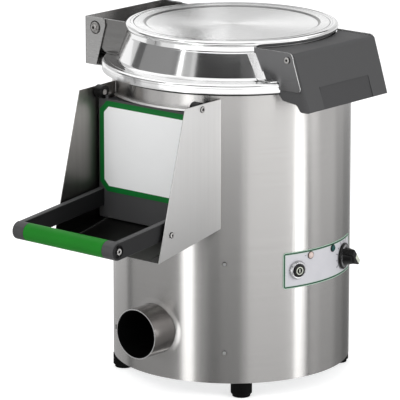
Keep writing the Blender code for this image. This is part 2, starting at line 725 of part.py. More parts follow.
def make_chute():
    back = -BODY_R / 2
    top_z = OPENING_TOP_Z + CHUTE_TOP_ABOVE
    top_front_y = -(BODY_R + CHUTE_TOP_REACH)
    floor_t = SHEET_T / cos(CHUTE_SLOPE)
    under = chute_floor_z(back) - floor_t
    cheek = [(CHUTE_FRONT_Y, CHUTE_FRONT_Z - floor_t), (back, under), (back, top_z),
             (top_front_y, top_z - CHUTE_TOP_FALL)]
    floor = [(CHUTE_FRONT_Y, CHUTE_FRONT_Z - floor_t), (back, under), (back, under + floor_t),
             (CHUTE_FRONT_Y, CHUTE_FRONT_Z)]
    chute = add("discharge_chute", extruded(cheek, "X", -CHUTE_HALF_W, -CHEEK_IN_X), STEEL)
    combine(chute, guide("right_cheek", extruded(cheek, "X", CHEEK_IN_X, CHUTE_HALF_W)), "UNION")
    floor_half = (CHEEK_IN_X + CHUTE_HALF_W) / 2
    combine(chute, guide("chute_floor", extruded(floor, "X", -floor_half, floor_half)), "UNION")
    room = disc(BODY_R + GAP, chute_floor_z(CHUTE_FRONT_Y), top_z + OVERRUN, DRUM_STEPS)
    combine(chute, guide("drum_room", room))
    for name, radius, y, z in (("pivot", PIVOT_SCREW_R, DOOR_PIVOT_Y, DOOR_PIVOT_Z),
                               ("glide", CHUTE_SCREW_R, glide_y(), glide_z())):
        reach = CHUTE_HALF_W + OVERRUN
        hole = lying(disc(radius + GAP, -reach, reach, SMALL_STEPS), (1, 0, 0), (0, y, z))
        combine(chute, guide(name + "_holes", hole))


def glide_y():
    return CHUTE_FRONT_Y + GLIDE_BACK


def glide_z():
    return CHUTE_FRONT_Z + GLIDE_UP


def sideways(outline, side, x, y, z, steps):
    """A turned solid that lies along X, its own zero at x on one side, looking outwards."""
    return lying(turned(outline, steps), (side, 0, 0), (side * x, y, z))


def make_chute_fittings():
    ends = ("left", "right")
    face = GAP + CHUTE_SCREW_HEAD_H
    glide_t = CHEEK_IN_X - GAP - ARM_OUT_HALF_W - SLIDE_GAP
    seat = -SHEET_T - GAP
    glide = [(0, seat - glide_t), (GLIDE_R, seat - glide_t), (GLIDE_R, seat), (CHUTE_SCREW_R, seat),
             (CHUTE_SCREW_R, GAP), (CHUTE_SCREW_HEAD_R, GAP), (CHUTE_SCREW_HEAD_R, (GAP + face) / 2),
             (CHUTE_SCREW_R, face), (0, face)]
    add_pair("door_glide", ends, lambda side: sideways(glide, side, CHUTE_HALF_W, glide_y(), glide_z(),
                                                       SMALL_STEPS),
             BLACK_PLASTIC)
    length = CHUTE_HALF_W - CHEEK_IN_X + PIVOT_BUSH_INSET + PIVOT_BUSH_W / 2
    socket_r = PIVOT_SCREW_R / 2
    face = GAP + PIVOT_SCREW_HEAD_H
    pivot = [(0, -length), (PIVOT_SCREW_R, -length), (PIVOT_SCREW_R, GAP), (PIVOT_SCREW_HEAD_R, GAP),
             (PIVOT_SCREW_HEAD_R, face), (socket_r, face), (socket_r, face / 2), (0, face / 2)]
    add_pair("door_pivot_screw", ends,
             lambda side: sideways(pivot, side, CHUTE_HALF_W, DOOR_PIVOT_Y, DOOR_PIVOT_Z, SMALL_STEPS), STEEL)


def bush_outer_x():
    return CHEEK_IN_X - PIVOT_BUSH_INSET


def make_pivot_bushes():
    bore = PIVOT_SCREW_R + RUN_GAP
    bush = [(PIVOT_BUSH_R, -PIVOT_BUSH_W), (PIVOT_BUSH_R, 0), (bore, 0), (bore, -PIVOT_BUSH_W)]
    add_pair("door_pivot_bush", ("left", "right"),
             lambda side: sideways(bush, side, bush_outer_x(), DOOR_PIVOT_Y, DOOR_PIVOT_Z, FIT_STEPS),
             BLACK_PLASTIC, door_axis)


def arm_outline():
    """Side view of one arm of the handle frame, from the panel to the rounded corner round the grip."""
    centre = (HANDLE_Y, HANDLE_Z)
    corner = arc(centre, GRIP_R, radians(80), radians(275), ROUND_STEPS // 2)
    root = PANEL_FRONT_Y + PANEL_T / 2
    return [(root, PANEL_FOOT_Z + ARM_FOOT_UP), (root, PANEL_FOOT_Z + ARM_TOP_UP)] + corner


def make_discharge_door():
    panel_back = PANEL_FRONT_Y + PANEL_T
    door = add("discharge_door", block((-PANEL_HALF_W, PANEL_FRONT_Y, PANEL_FOOT_Z),
                                       (PANEL_HALF_W, panel_back, PANEL_TOP_Z)), GREY_PLASTIC, door_axis)
    plug_half = OPENING_HALF_W - PLUG_SIDE_GAP
    plug_low = OPENING_Z + PLUG_FOOT_GAP
    plug_high = OPENING_TOP_Z - PLUG_TOP_GAP
    plug = guide("door_plug", block((-plug_half, panel_back - PANEL_T / 2, plug_low),
                                    (plug_half, -BODY_R / 2, plug_high)))
    combine(plug, guide("plug_hollow", disc(LINER_IN_R, plug_low - OVERRUN, plug_high + OVERRUN, DRUM_STEPS)))
    combine(door, plug, "UNION")
    bush_room = PIVOT_BUSH_R + GAP
    bush_inner_x = bush_outer_x() - PIVOT_BUSH_W - GAP
    for side in (-1, 1):
        low, high = side_span(side, ARM_OUT_HALF_W - ARM_T, ARM_OUT_HALF_W)
        name = "left" if side < 0 else "right"
        combine(door, guide(name + "_arm", extruded(arm_outline(), "X", low, high)), "UNION")
        low, high = side_span(side, GRIP_HALF_L + GAP, ARM_OUT_HALF_W - ARM_T / 2)
        corner = lying(disc(GRIP_R, low, high, ROUND_STEPS), (1, 0, 0), (0, HANDLE_Y, HANDLE_Z))
        combine(door, guide(name + "_corner", corner), "UNION")
        low, high = side_span(side, bush_inner_x, CHUTE_HALF_W)
        room = lying(disc(bush_room, low, high, ROUND_STEPS), (1, 0, 0), (0, DOOR_PIVOT_Y, DOOR_PIVOT_Z))
        combine(door, guide(name + "_bush_room", room))
    lug = bush_inner_x - PIVOT_LUG_W
    dip = block((-lug, PANEL_FRONT_Y - OVERRUN, PANEL_TOP_Z - PANEL_DIP),
                (lug, panel_back + OVERRUN, PANEL_TOP_Z + OVERRUN))
    combine(door, guide("panel_top_dip", dip))
    reach = ARM_OUT_HALF_W + OVERRUN
    hole = lying(disc(GRIP_ROD_R + GAP, -reach, reach, SMALL_STEPS), (1, 0, 0), (0, HANDLE_Y, HANDLE_Z))
    combine(door, guide("grip_rod_holes", hole))
    pocket = disc(MAGNET_R + GAP, -OVERRUN, MAGNET_T + GAP, SCREW_STEPS)
    combine(door, guide("magnet_pocket", lying(pocket, (1, 0, 0),
                                               (-ARM_OUT_HALF_W, door_sensor_y(), door_sensor_z()))))


def make_door_label():
    low = PANEL_FOOT_Z + LABEL_FOOT_UP
    high = PANEL_TOP_Z - LABEL_TOP_DROP
    w, c = LABEL_HALF_W, LABEL_CORNER
    outline = [(-w + c, low), (w - c, low), (w, low + c), (w, high - c), (w - c, high), (-w + c, high),
               (-w, high - c), (-w, low + c)]
    front = PANEL_FRONT_Y - GAP
    label = add("door_label", extruded(outline, "Y", front - LABEL_T, front), LABEL_WHITE, door_axis)
    for side in (-1, 1):
        low_x, high_x = side_span(side, bush_outer_x() - PIVOT_BUSH_W - GAP, CHUTE_HALF_W)
        room = lying(disc(PIVOT_BUSH_R + 2 * GAP, low_x, high_x, ROUND_STEPS), (1, 0, 0),
                     (0, DOOR_PIVOT_Y, DOOR_PIVOT_Z))
        combine(label, guide("label_bush_room_" + ("left" if side < 0 else "right"), room))


def make_handle():
    grip = ring(GRIP_ROD_R + GAP, GRIP_R, -GRIP_HALF_L, GRIP_HALF_L, ROUND_STEPS)
    place = (0, HANDLE_Y, HANDLE_Z)
    add("handle_grip", lying(grip, (1, 0, 0), place), GREEN_PLASTIC, door_axis)
    seat = ARM_OUT_HALF_W + GAP
    end = seat + HANDLE_SCREW_H
    socket = end - HANDLE_SCREW_H / 2
    head = [(GRIP_ROD_R, seat), (HANDLE_SCREW_R, seat), (HANDLE_SCREW_R, end), (HANDLE_SOCKET_R, end),
            (HANDLE_SOCKET_R, socket), (0, socket)]
    other = [(radius, -x) for radius, x in reversed(head)]
    add("handle_rod", lying(turned(other + head, SMALL_STEPS), (1, 0, 0), place), STEEL, door_axis)


# Lid and what rides on it

def lid_outline():
    """The lid's outer side, from the rim's foot up over the cone and the bead to the middle."""
    rim_top = [(RIM_R - RIM_ROUND, LEDGE_Z - RIM_ROUND)]
    rim = [(RIM_R, LID_Z)] + arc(rim_top[0], RIM_ROUND, 0, pi / 2, 2)
    cone_lean = atan((CONE_FOOT_R - CONE_TOP_R) / CONE_H)
    foot = [(CONE_FOOT_R + FOOT_ROUND_LID, LEDGE_Z),
            (CONE_FOOT_R - FOOT_ROUND_LID * sin(cone_lean), LEDGE_Z + FOOT_ROUND_LID)]
    neck = [(CONE_TOP_R, CONE_TOP_Z), (CONE_TOP_R - NECK_IN, CONE_TOP_Z + NECK_IN),
            (CONE_TOP_R - NECK_IN, BEAD_Z)]
    bead = arc((BEAD_OUT_R - BEAD_R, BEAD_Z + BEAD_R), BEAD_R, radians(-50), radians(90), 4)
    top_z = BEAD_Z + 2 * BEAD_R
    ring_r = BODY_R - RING_IN
    disc_r = BODY_R - DISC_IN
    top = [(ring_r, top_z - RING_FALL / 2), (disc_r + DISC_STEP, top_z - RING_FALL),
           (disc_r, top_z - RING_FALL - DISC_STEP), (0, top_z - RING_FALL - DISC_STEP - DISC_DISH)]
    return rim + foot + neck + bead + top


def make_lid_shell():
    inner_cone_foot = CONE_FOOT_R - LID_T
    inner_cone_top = CONE_TOP_R - NECK_IN - LID_T
    top_z = BEAD_Z + 2 * BEAD_R - RING_FALL - DISC_STEP - LID_T
    under = [(RIM_R - LID_T, LID_Z), (RIM_R - LID_T, LEDGE_Z - LID_T), (inner_cone_foot, LEDGE_Z - LID_T),
             (inner_cone_top, CONE_TOP_Z), (inner_cone_top, top_z), (0, top_z - DISC_DISH)]
    add("lid_shell", turned(list(reversed(lid_outline())) + under, LID_STEPS), POLISHED, lid_axis)


def make_lid_gasket():
    inner = BODY_R - GASKET_IN
    outer = BODY_R + GASKET_OUT
    shape = ring(inner, outer, BODY_H + GAP, LEDGE_Z - LID_T - GAP, LID_STEPS)
    add("lid_gasket", shape, RUBBER, lid_axis)


def lid_room(name, gap):
    """The space that the lid fills, a little larger, which cuts what sits against it."""
    foot = LID_Z - gap
    outline = [(0, foot), (RIM_R + gap, foot), (RIM_R + gap, LEDGE_Z + gap),
               (CONE_FOOT_R + FOOT_ROUND_LID + gap, LEDGE_Z + gap),
               (CONE_FOOT_R + gap, LEDGE_Z + FOOT_ROUND_LID + gap), (CONE_TOP_R + gap, CONE_TOP_Z),
               (CONE_TOP_R + gap, BEAD_Z - gap), (BEAD_OUT_R + gap, BEAD_Z),
               (BEAD_OUT_R + gap, BEAD_Z + 3 * BEAD_R),
               (0, BEAD_Z + 3 * BEAD_R)]
    return guide(name, turned(outline, LID_STEPS))


def flange_band(name, side_x, side_y, y, top):
    """A bent flange of an ear: a strip of sheet that lies on the lid's cone and ledge."""
    low_gap = EAR_LID_GAP
    high_gap = EAR_LID_GAP + SHEET_T
    outline = [(RIM_R - RIM_ROUND, LEDGE_Z + low_gap),
               (CONE_FOOT_R + FOOT_ROUND_LID + low_gap, LEDGE_Z + low_gap),
               (CONE_FOOT_R + low_gap, LEDGE_Z + FOOT_ROUND_LID + low_gap),
               (CONE_TOP_R + low_gap, CONE_TOP_Z),
               (CONE_TOP_R + high_gap, CONE_TOP_Z),
               (CONE_FOOT_R + high_gap, LEDGE_Z + FOOT_ROUND_LID + low_gap),
               (CONE_FOOT_R + FOOT_ROUND_LID + low_gap, LEDGE_Z + high_gap),
               (RIM_R - RIM_ROUND, LEDGE_Z + high_gap)]
    band = guide(name, turned(outline, LID_STEPS))
    low_y, high_y = side_span(side_y, y, y + EAR_FLANGE_W)
    low_x, high_x = side_span(side_x, BODY_R / 2, RIM_R)
    strip = block((low_x, low_y, LEDGE_Z - OVERRUN), (high_x, high_y, top))
    return combine(band, guide(name + "_strip", strip), "INTERSECT")


def make_ears(name, side_x, near_y, outline, top, holes):
    """Two sheet ears on the lid, each with the flange that is welded to the lid."""
    for side_y, end in ((-1, "front"), (1, "rear")):
        low, high = side_span(side_y, near_y, near_y + SHEET_T)
        ear = add(f"{name}_{end}", extruded(outline, "Y", low, high), STEEL, lid_axis)
        combine(ear, lid_room(f"{name}_{end}_lid_room", EAR_LID_GAP))
        low, high = side_span(side_y, near_y - OVERRUN, near_y + EAR_FLANGE_W / 2)
        for i, (radius, x, z) in enumerate(holes):
            hole = lying(disc(radius, low, high, FIT_STEPS), (0, 1, 0), (x, 0, z))
            combine(ear, guide(f"{name}_{end}_hole_{i}", hole))
        combine(ear, flange_band(f"{name}_{end}_flange", side_x, side_y, near_y, top), "UNION")


def make_hinge_ears():
    top = HINGE_Z + HINGE_EAR_R
    heel_x = -RIM_R + HINGE_EAR_HEEL
    eye = arc((HINGE_X, HINGE_Z), HINGE_EAR_R, radians(90), radians(230), ROUND_STEPS // 2)
    outline = [*eye, (heel_x, LEDGE_Z), (-CONE_FOOT_R / 2, LEDGE_Z), (-CONE_FOOT_R / 2, top)]
    make_ears("hinge_ear", -1, HINGE_EAR_Y - SHEET_T, outline, CONE_TOP_Z + GAP,
              [(HINGE_BOLT_R + RUN_GAP, HINGE_X, HINGE_Z)])


def handle_ear_outline():
    top = LID_Z + HANDLE_EAR_TOP_UP
    foot = LID_Z + HANDLE_EAR_FOOT_UP
    front_x = RIM_R - HANDLE_EAR_FRONT_IN
    foot_x = RIM_R + HANDLE_EAR_FOOT_OUT
    lean = atan((foot_x - front_x) / (top - HANDLE_EAR_SIDE_DROP - foot))
    corner = (foot_x - HANDLE_EAR_ROUND, foot + HANDLE_EAR_ROUND)
    round_foot = arc(corner, HANDLE_EAR_ROUND, -pi / 2, lean, 4)
    return [(CONE_TOP_R / 2, foot), *round_foot, (front_x, top - HANDLE_EAR_SIDE_DROP),
            (front_x - HANDLE_EAR_SIDE_DROP / 2, top - HANDLE_EAR_SIDE_DROP / 3),
            (RIM_R - HANDLE_EAR_TOP_IN, top), (CONE_TOP_R / 2, top)]


def cover_screw_place():
    return RIM_R - COVER_SCREW_IN, LID_Z + COVER_TOP_UP - COVER_SCREW_DROP + COVER_WALL


def make_handle_ears():
    screw_x, screw_z = cover_screw_place()
    cone_x = sqrt(CONE_FOOT_R ** 2 - HANDLE_EAR_Y ** 2)
    make_ears("handle_ear", 1, HANDLE_EAR_Y, handle_ear_outline(), CONE_TOP_Z + GAP,
              [(COVER_SCREW_R + GAP, screw_x, screw_z),
               (EAR_NOTCH_R, cone_x + SHEET_T, LEDGE_Z + FOOT_ROUND_LID)])


def cover_outline():
    """The lid handle's moulded cover seen from the side, with its stepped lower edge."""
    top = LID_Z + COVER_TOP_UP
    foot = LID_Z - COVER_DROP
    ridge_x = RIM_R + COVER_RIDGE_OUT
    nose_x = RIM_R + COVER_NOSE_OUT
    shoulder = LID_Z - COVER_SHOULDER_DROP
    lean = atan((nose_x - ridge_x) / (top - foot))
    crest = arc((ridge_x - COVER_CREST_R, top - COVER_CREST_R), COVER_CREST_R, pi / 2, lean, 4)
    nose_in = nose_x - COVER_STEP_BACK
    heel = nose_x - COVER_HEEL_BACK
    back = nose_x - COVER_BACK
    middle = (shoulder + foot) / 2
    lower = [(nose_x, foot), (nose_in, foot), ((nose_in * 2 + heel) / 3, middle), (heel, shoulder),
             ((heel + back * 2) / 3, shoulder + (LID_Z - shoulder) / 6), (back, LID_Z),
             (CONE_TOP_R / 2, LID_Z)]
    return [(CONE_TOP_R / 2, top), *crest, *lower]


def make_lid_cover():
    outline = cover_outline()
    cover = add("lid_handle_cover", extruded(outline, "Y", -COVER_HALF_W, COVER_HALF_W), GREY_PLASTIC,
                lid_axis)
    top = LID_Z + COVER_TOP_UP - COVER_WALL
    foot = LID_Z - COVER_DROP - OVERRUN
    lean = (COVER_NOSE_OUT - COVER_RIDGE_OUT) / (COVER_TOP_UP + COVER_DROP)
    wall = COVER_WALL * sqrt(1 + lean * lean)
    nose_x = RIM_R + COVER_NOSE_OUT - wall
    hollow = [(0, foot), (nose_x + OVERRUN * lean, foot), (nose_x - (top - foot - OVERRUN) * lean, top),
              (0, top)]
    inside = COVER_HALF_W - COVER_WALL
    combine(cover, guide("cover_hollow", extruded(hollow, "Y", -inside, inside)))
    combine(cover, lid_room("cover_lid_room", COVER_LID_GAP))
    face_x = RIM_R + COVER_NOSE_OUT - COVER_RECESS_D
    low = LID_Z - COVER_DROP - OVERRUN
    high = LID_Z - COVER_DROP + COVER_RECESS_H
    recess = [(face_x + OVERRUN * lean, low), (face_x + BEAD_R * 4, low), (face_x + BEAD_R * 4, high),
              (face_x - COVER_RECESS_H * lean, high)]
    combine(cover, guide("cover_recess", extruded(recess, "Y", -COVER_RECESS_HALF_W, COVER_RECESS_HALF_W)))
    screw_x, screw_z = cover_screw_place()
    reach = COVER_HALF_W + OVERRUN
    hole = lying(disc(COVER_SCREW_R + GAP, -reach, reach, SCREW_STEPS), (0, 1, 0), (screw_x, 0, screw_z))
    combine(cover, guide("cover_screw_holes", hole))


def make_cover_screws():
    face = HANDLE_EAR_Y + SHEET_T
    screw_x, screw_z = cover_screw_place()
    screw = [(0, -COVER_SCREW_L), (COVER_SCREW_R, -COVER_SCREW_L), (COVER_SCREW_R, GAP),
             (COVER_SCREW_HEAD_R, GAP),
             (COVER_SCREW_HEAD_R, GAP + COVER_SCREW_HEAD_H / 2), (COVER_SCREW_R, GAP + COVER_SCREW_HEAD_H),
             (0, GAP + COVER_SCREW_HEAD_H)]
    add_pair("cover_screw", ("front", "rear"),
             lambda side: lying(turned(screw, SCREW_STEPS), (0, side, 0), (screw_x, side * face, screw_z)),
             STEEL, lid_axis)


def make_hinge_bracket():
    top = HINGE_Z + BRACKET_ABOVE_AXIS
    shelf = LID_Z - BRACKET_SHELF_DROP
    foot = shelf - SHEET_T
    end = [(BRACKET_X, foot), (BRACKET_X, top), (BRACKET_X + BRACKET_TOP_L, top),
           (BRACKET_X + BRACKET_TIP_L, top - BRACKET_TIP_DROP), (BRACKET_X + BRACKET_FOOT_L, foot)]
    wall = block((BRACKET_X, -BRACKET_HALF_L, foot), (BRACKET_X + SHEET_T, BRACKET_HALF_L, top))
    bracket = add("hinge_bracket", wall, STEEL)
    floor = guide("bracket_shelf", block((BRACKET_X + SHEET_T / 2, -BRACKET_HALF_L + SHEET_T / 2, foot),
                                         (-BODY_R / 2, BRACKET_HALF_L - SHEET_T / 2, shelf)))
    combine(floor, guide("shelf_drum_room", disc(BODY_R + GAP, foot - OVERRUN, shelf + OVERRUN, DRUM_STEPS)))
    combine(bracket, floor, "UNION")
    for side in (-1, 1):
        low, high = side_span(side, BRACKET_HALF_L - SHEET_T, BRACKET_HALF_L)
        name = "front" if side < 0 else "rear"
        combine(bracket, guide(f"bracket_{name}_end", extruded(end, "Y", low, high)), "UNION")
    reach = BRACKET_HALF_L + OVERRUN
    hole = lying(disc(HINGE_BOLT_R + GAP, -reach, reach, SMALL_STEPS), (0, 1, 0), (HINGE_X, 0, HINGE_Z))
    combine(bracket, guide("bracket_bolt_holes", hole))


def make_hinge_bolts():
    """Bolt, washer and head outside the bracket, with the nut inside the lid's ear."""
    head = GAP + HINGE_WASHER_T
    inner = SHEET_T + HINGE_EAR_GAP + SHEET_T + SLIDE_GAP
    bolt = [(0, -inner - HINGE_NUT_T), (HINGE_NUT_R, -inner - HINGE_NUT_T), (HINGE_NUT_R, -inner),
            (HINGE_BOLT_R, -inner), (HINGE_BOLT_R, GAP), (HINGE_WASHER_R, GAP), (HINGE_WASHER_R, head),
            (HINGE_HEAD_R, head), (HINGE_HEAD_R, head + HINGE_HEAD_H),
            (HINGE_BOLT_R / 2, head + HINGE_HEAD_H),
            (HINGE_BOLT_R / 2, head + HINGE_HEAD_H / 2), (0, head + HINGE_HEAD_H / 2)]
    add_pair("hinge_bolt", ("front", "rear"),
             lambda side: lying(turned(bolt, SMALL_STEPS), (0, side, 0),
                                (HINGE_X, side * BRACKET_HALF_L, HINGE_Z)),
             STEEL)


# Safety sensors

def door_sensor_y():
    return PANEL_FRONT_Y - DOOR_SENSOR_FORWARD


def door_sensor_z():
    return PANEL_FOOT_Z + DOOR_SENSOR_UP


def make_sensors():
    radius = BODY_R + GAP
    high = BODY_H - SHEET_T
    low = high - SENSOR_H
    sensor = add("lid_reed_switch",
                 block((BODY_R / 2, -SENSOR_HALF_L, low), (radius + SENSOR_T, SENSOR_HALF_L, high)), BLACK_PLASTIC)
    combine(sensor, guide("sensor_drum_room", disc(radius, low - OVERRUN, high + OVERRUN, DRUM_STEPS)))
    lean = (COVER_NOSE_OUT - COVER_RIDGE_OUT) / (COVER_TOP_UP + COVER_DROP)
    wall = COVER_WALL * sqrt(1 + lean * lean) + GAP
    foot = LID_Z - COVER_DROP
    face_low = RIM_R + COVER_NOSE_OUT - wall - (low - foot) * lean
    face_high = face_low - LID_MAGNET_H * lean
    outline = [(face_low, low), (face_high, low + LID_MAGNET_H),
               (face_high - LID_MAGNET_T, low + LID_MAGNET_H),
               (face_low - LID_MAGNET_T, low)]
    add("lid_magnet", extruded(outline, "Y", -LID_MAGNET_HALF_L, LID_MAGNET_HALF_L), CAST, lid_axis)
    y, z = door_sensor_y(), door_sensor_z()
    outer = CHUTE_HALF_W + GAP
    add("door_reed_switch", block((-outer - SENSOR_T, y - SENSOR_HALF_L, z - SENSOR_H / 2),
                                  (-outer, y + SENSOR_HALF_L, z + SENSOR_H / 2)), BLACK_PLASTIC)
    magnet = disc(MAGNET_R, 0, MAGNET_T, SCREW_STEPS)
    add("door_magnet", lying(magnet, (1, 0, 0), (-ARM_OUT_HALF_W, y, z)), CAST, door_axis)


# Control panel

def make_control_label():
    inner = BODY_R + GAP
    shape = ring(inner, inner + PANEL_LABEL_T, PANEL_LABEL_Z, PANEL_LABEL_Z + PANEL_LABEL_H, DRUM_STEPS)
    label = add("control_label", shape, LABEL_WHITE)
    half = (BODY_R + PANEL_LABEL_T) * sin(LABEL_SPREAD)
    span = block((-half, 0, PANEL_LABEL_Z - OVERRUN),
                 (half, BODY_R + OVERRUN, PANEL_LABEL_Z + PANEL_LABEL_H + OVERRUN))
    combine(label, guide("label_span", moved(span, Matrix.Rotation(PANEL_ANGLE + pi, 4, "Z"))), "INTERSECT")
    combine(label, side_hole("label_bezel_hole", BUTTON_ANGLE, BUTTON_Z, BARREL_R + GAP))
    combine(label, side_hole("label_knob_hole", KNOB_ANGLE, KNOB_Z, KNOB_SHAFT_R + SLIDE_GAP, SCREW_STEPS))
    for name, angle, up in LAMP_ANGLES_AND_UPS:
        stem_hole = side_hole(f"label_{name}_hole", angle, PANEL_LABEL_Z + up, LAMP_STEM_R + GAP, SMALL_STEPS)
        combine(label, stem_hole)


def fitted_depth(half_w):
    """How far out a flat-faced box of this width reaches before its corners meet the drum's wall."""
    facet_r = WALL_IN_R * cos(pi / DRUM_STEPS)
    return sqrt(facet_r ** 2 - half_w ** 2) - GAP


def make_start_button():
    bore = BUTTON_R + GAP
    outline = [(BARREL_R, -BARREL_L), (BARREL_R, 0), (BEZEL_R, 0), (BEZEL_FACE_R, BEZEL_H), (bore, BEZEL_H),
               (bore, -BARREL_L)]
    frame = facing_out(BUTTON_ANGLE, BUTTON_Z, KNOB_FACE_R)
    add("button_bezel", moved(turned(outline, ROUND_STEPS), frame), POLISHED)
    stem = BARREL_L - BUTTON_TRAVEL - SLIDE_GAP
    face = BEZEL_H + BUTTON_PROUD
    button = [(0, -stem), (BUTTON_R, -stem), (BUTTON_R, face - BUTTON_PROUD / 2),
              (BUTTON_R - BUTTON_PROUD / 2, face), (0, face)]
    add("start_button", moved(turned(button, ROUND_STEPS), frame), BLACK_PLASTIC, button_axis)
    front = KNOB_FACE_R - BARREL_L - GAP
    w, h = CONTACT_BLOCK_HALF_W, CONTACT_BLOCK_HALF_H
    body = block((-w, -h, front - CONTACT_BLOCK_D), (w, h, front))
    add("contact_block", moved(body, facing_out(BUTTON_ANGLE, BUTTON_Z)), OFF_WHITE)


def make_lamps():
    outline = [(0, -LAMP_STEM_L), (LAMP_STEM_R, -LAMP_STEM_L), (LAMP_STEM_R, 0), (LAMP_R, 0),
               (LAMP_R, LAMP_H / 2), (LAMP_STEM_R, LAMP_H), (0, LAMP_H + LAMP_H / 4)]
    for name, angle, up in LAMP_ANGLES_AND_UPS:
        lens = moved(turned(outline, SMALL_STEPS), facing_out(angle, PANEL_LABEL_Z + up, KNOB_FACE_R))
        add(name, lens, LAMP_WHITE if name.startswith("white") else LAMP_GREEN)


def make_timer():
    knob_z = KNOB_SKIRT_H + KNOB_H
    outline = [(0, -KNOB_SHAFT_L), (KNOB_SHAFT_R, -KNOB_SHAFT_L), (KNOB_SHAFT_R, 0), (KNOB_SKIRT_R, 0),
               (KNOB_SKIRT_R, KNOB_SKIRT_H / 2), (KNOB_SKIRT_R - KNOB_SKIRT_H / 2, KNOB_SKIRT_H),
               (KNOB_R, KNOB_SKIRT_H), (KNOB_R - KNOB_SKIRT_H / 4, knob_z), (0, knob_z)]
    frame = facing_out(KNOB_ANGLE, KNOB_Z, KNOB_FACE_R)
    knob = add("timer_knob", moved(turned(outline, ROUND_STEPS), frame), BLACK_PLASTIC, knob_axis)
    bar = block((-KNOB_GRIP_T / 2, -KNOB_GRIP_HALF_L, KNOB_SKIRT_H / 2),
                (KNOB_GRIP_T / 2, KNOB_GRIP_HALF_L, knob_z + KNOB_GRIP_H - KNOB_SKIRT_H))
    combine(knob, guide("knob_bar", moved(bar, frame @ Matrix.Rotation(KNOB_GRIP_TURN, 4, "Z"))), "UNION")
    front = fitted_depth(TIMER_HALF_W)
    body = block((-TIMER_HALF_W, -TIMER_HALF_W, front - TIMER_D), (TIMER_HALF_W, TIMER_HALF_W, front))
    timer = add("timer_body", moved(body, facing_out(KNOB_ANGLE, KNOB_Z)), OFF_WHITE)
    hole = disc(KNOB_SHAFT_R + RUN_GAP, KNOB_FACE_R - KNOB_SHAFT_L - GAP, BODY_R, ROUND_STEPS)
    combine(timer, guide("timer_shaft_hole", moved(hole, facing_out(KNOB_ANGLE, KNOB_Z))))


# Rotor, bearings, belt drive and motor

def make_shaft():
    shoulder = PLATE_Z - GAP
    top = PLATE_Z + PLATE_T + PLATE_NUT_H - PAN_T
    outline = [(0, SHAFT_FOOT_Z), (SHAFT_R, SHAFT_FOOT_Z), (SHAFT_R, shoulder), (SHAFT_TOP_R, shoulder),
               (SHAFT_TOP_R, top), (0, top)]
    add("main_shaft", turned(outline, SMALL_STEPS), ZINC, plate_axis)


def plate_lift(x, y):
    """Height of the plate's waves: three smooth ramps that grow towards the edge."""
    edge_r = LINER_IN_R - PLATE_EDGE_GAP
    radius = sqrt(x * x + y * y)
    if radius <= PLATE_HUB_R:
        return 0
    share = (radius - PLATE_HUB_R) / (edge_r - PLATE_HUB_R)
    turn = Vector((x, y)).angle_signed(Vector((1, 0))) * PLATE_WAVES
    return PLATE_WAVE_H * share * (1 + cos(turn)) / 2


def make_peeling_plate():
    edge_r = LINER_IN_R - PLATE_EDGE_GAP
    bore = SHAFT_TOP_R + GAP
    rings = 5
    top = PLATE_Z + PLATE_T
    across = [PLATE_HUB_R + (edge_r - PLATE_HUB_R) * i / rings for i in range(rings + 1)]
    across_top = [(radius, top) for radius in reversed(across)]
    outline = [(bore, PLATE_Z), (edge_r, PLATE_Z)] + across_top + [(bore, top)]
    shape = turned(outline, DRUM_STEPS // 2)
    for vert in shape.verts:
        if vert.co.z > PLATE_Z + PLATE_T / 2:
            vert.co.z += plate_lift(vert.co.x, vert.co.y)
    add("peeling_plate", shape, ABRASIVE, plate_axis)
    low = top + GAP
    bore = SHAFT_TOP_R + GAP
    nut = [(bore, low), (PLATE_NUT_R, low), (PLATE_NUT_R, low + PLATE_NUT_H / 2),
           (SHAFT_TOP_R + PAN_T, low + PLATE_NUT_H), (0, low + PLATE_NUT_H),
           (0, low + PLATE_NUT_H - PAN_T / 2),
           (bore, low + PLATE_NUT_H - PAN_T / 2)]
    cap = nut[3:5]
    outline = [(0, low + PLATE_NUT_H - PAN_T / 2), (bore, low + PLATE_NUT_H - PAN_T / 2), *nut[:3], *cap]
    add("plate_nut", turned(outline, SMALL_STEPS), STEEL, plate_axis)


def make_bearing_housing():
    top = SUMP_Z - GAP
    low = top - HOUSING_H
    bore = BEARING_R + GAP
    flange = top - HOUSING_FLANGE_T
    outline = [(HOUSING_R, low), (HOUSING_R, flange), (HOUSING_FLANGE_R, flange), (HOUSING_FLANGE_R, top),
               (bore, top), (bore, low)]
    add("bearing_housing", turned(outline, FIT_STEPS), CAST)
    inner = SHAFT_R + RUN_GAP
    add("shaft_bearing", ring(inner, BEARING_R, low, top - SEAL_H - GAP, FIT_STEPS), ZINC)
    add("shaft_seal", ring(inner, BEARING_R, top - SEAL_H, top, FIT_STEPS), RUBBER)


def pulley_rim(radius):
    """A flat-belt pulley's running face between two low lips, from the bottom up."""
    low, high = PULLEY_Z, PULLEY_Z + PULLEY_W
    lip_r = radius + PULLEY_LIP
    return [(lip_r, low), (lip_r, low + PULLEY_LIP), (radius, low + PULLEY_LIP), (radius, high - PULLEY_LIP),
            (lip_r, high - PULLEY_LIP), (lip_r, high)]


def make_driven_pulley():
    low, high = PULLEY_Z, PULLEY_Z + PULLEY_W
    web_low = (low + high - PULLEY_WEB_T) / 2
    web_high = web_low + PULLEY_WEB_T
    rim_in = PULLEY_R - PULLEY_RIM_T
    bore = SHAFT_R + GAP
    outline = [*pulley_rim(PULLEY_R), (rim_in, high), (rim_in, web_high), (PULLEY_HUB_R, web_high),
               (PULLEY_HUB_R, high), (bore, high), (bore, low), (PULLEY_HUB_R, low), (PULLEY_HUB_R, web_low),
               (rim_in, web_low), (rim_in, low)]
    add("driven_pulley", turned(outline, DRUM_STEPS // 2), CAST, plate_axis)


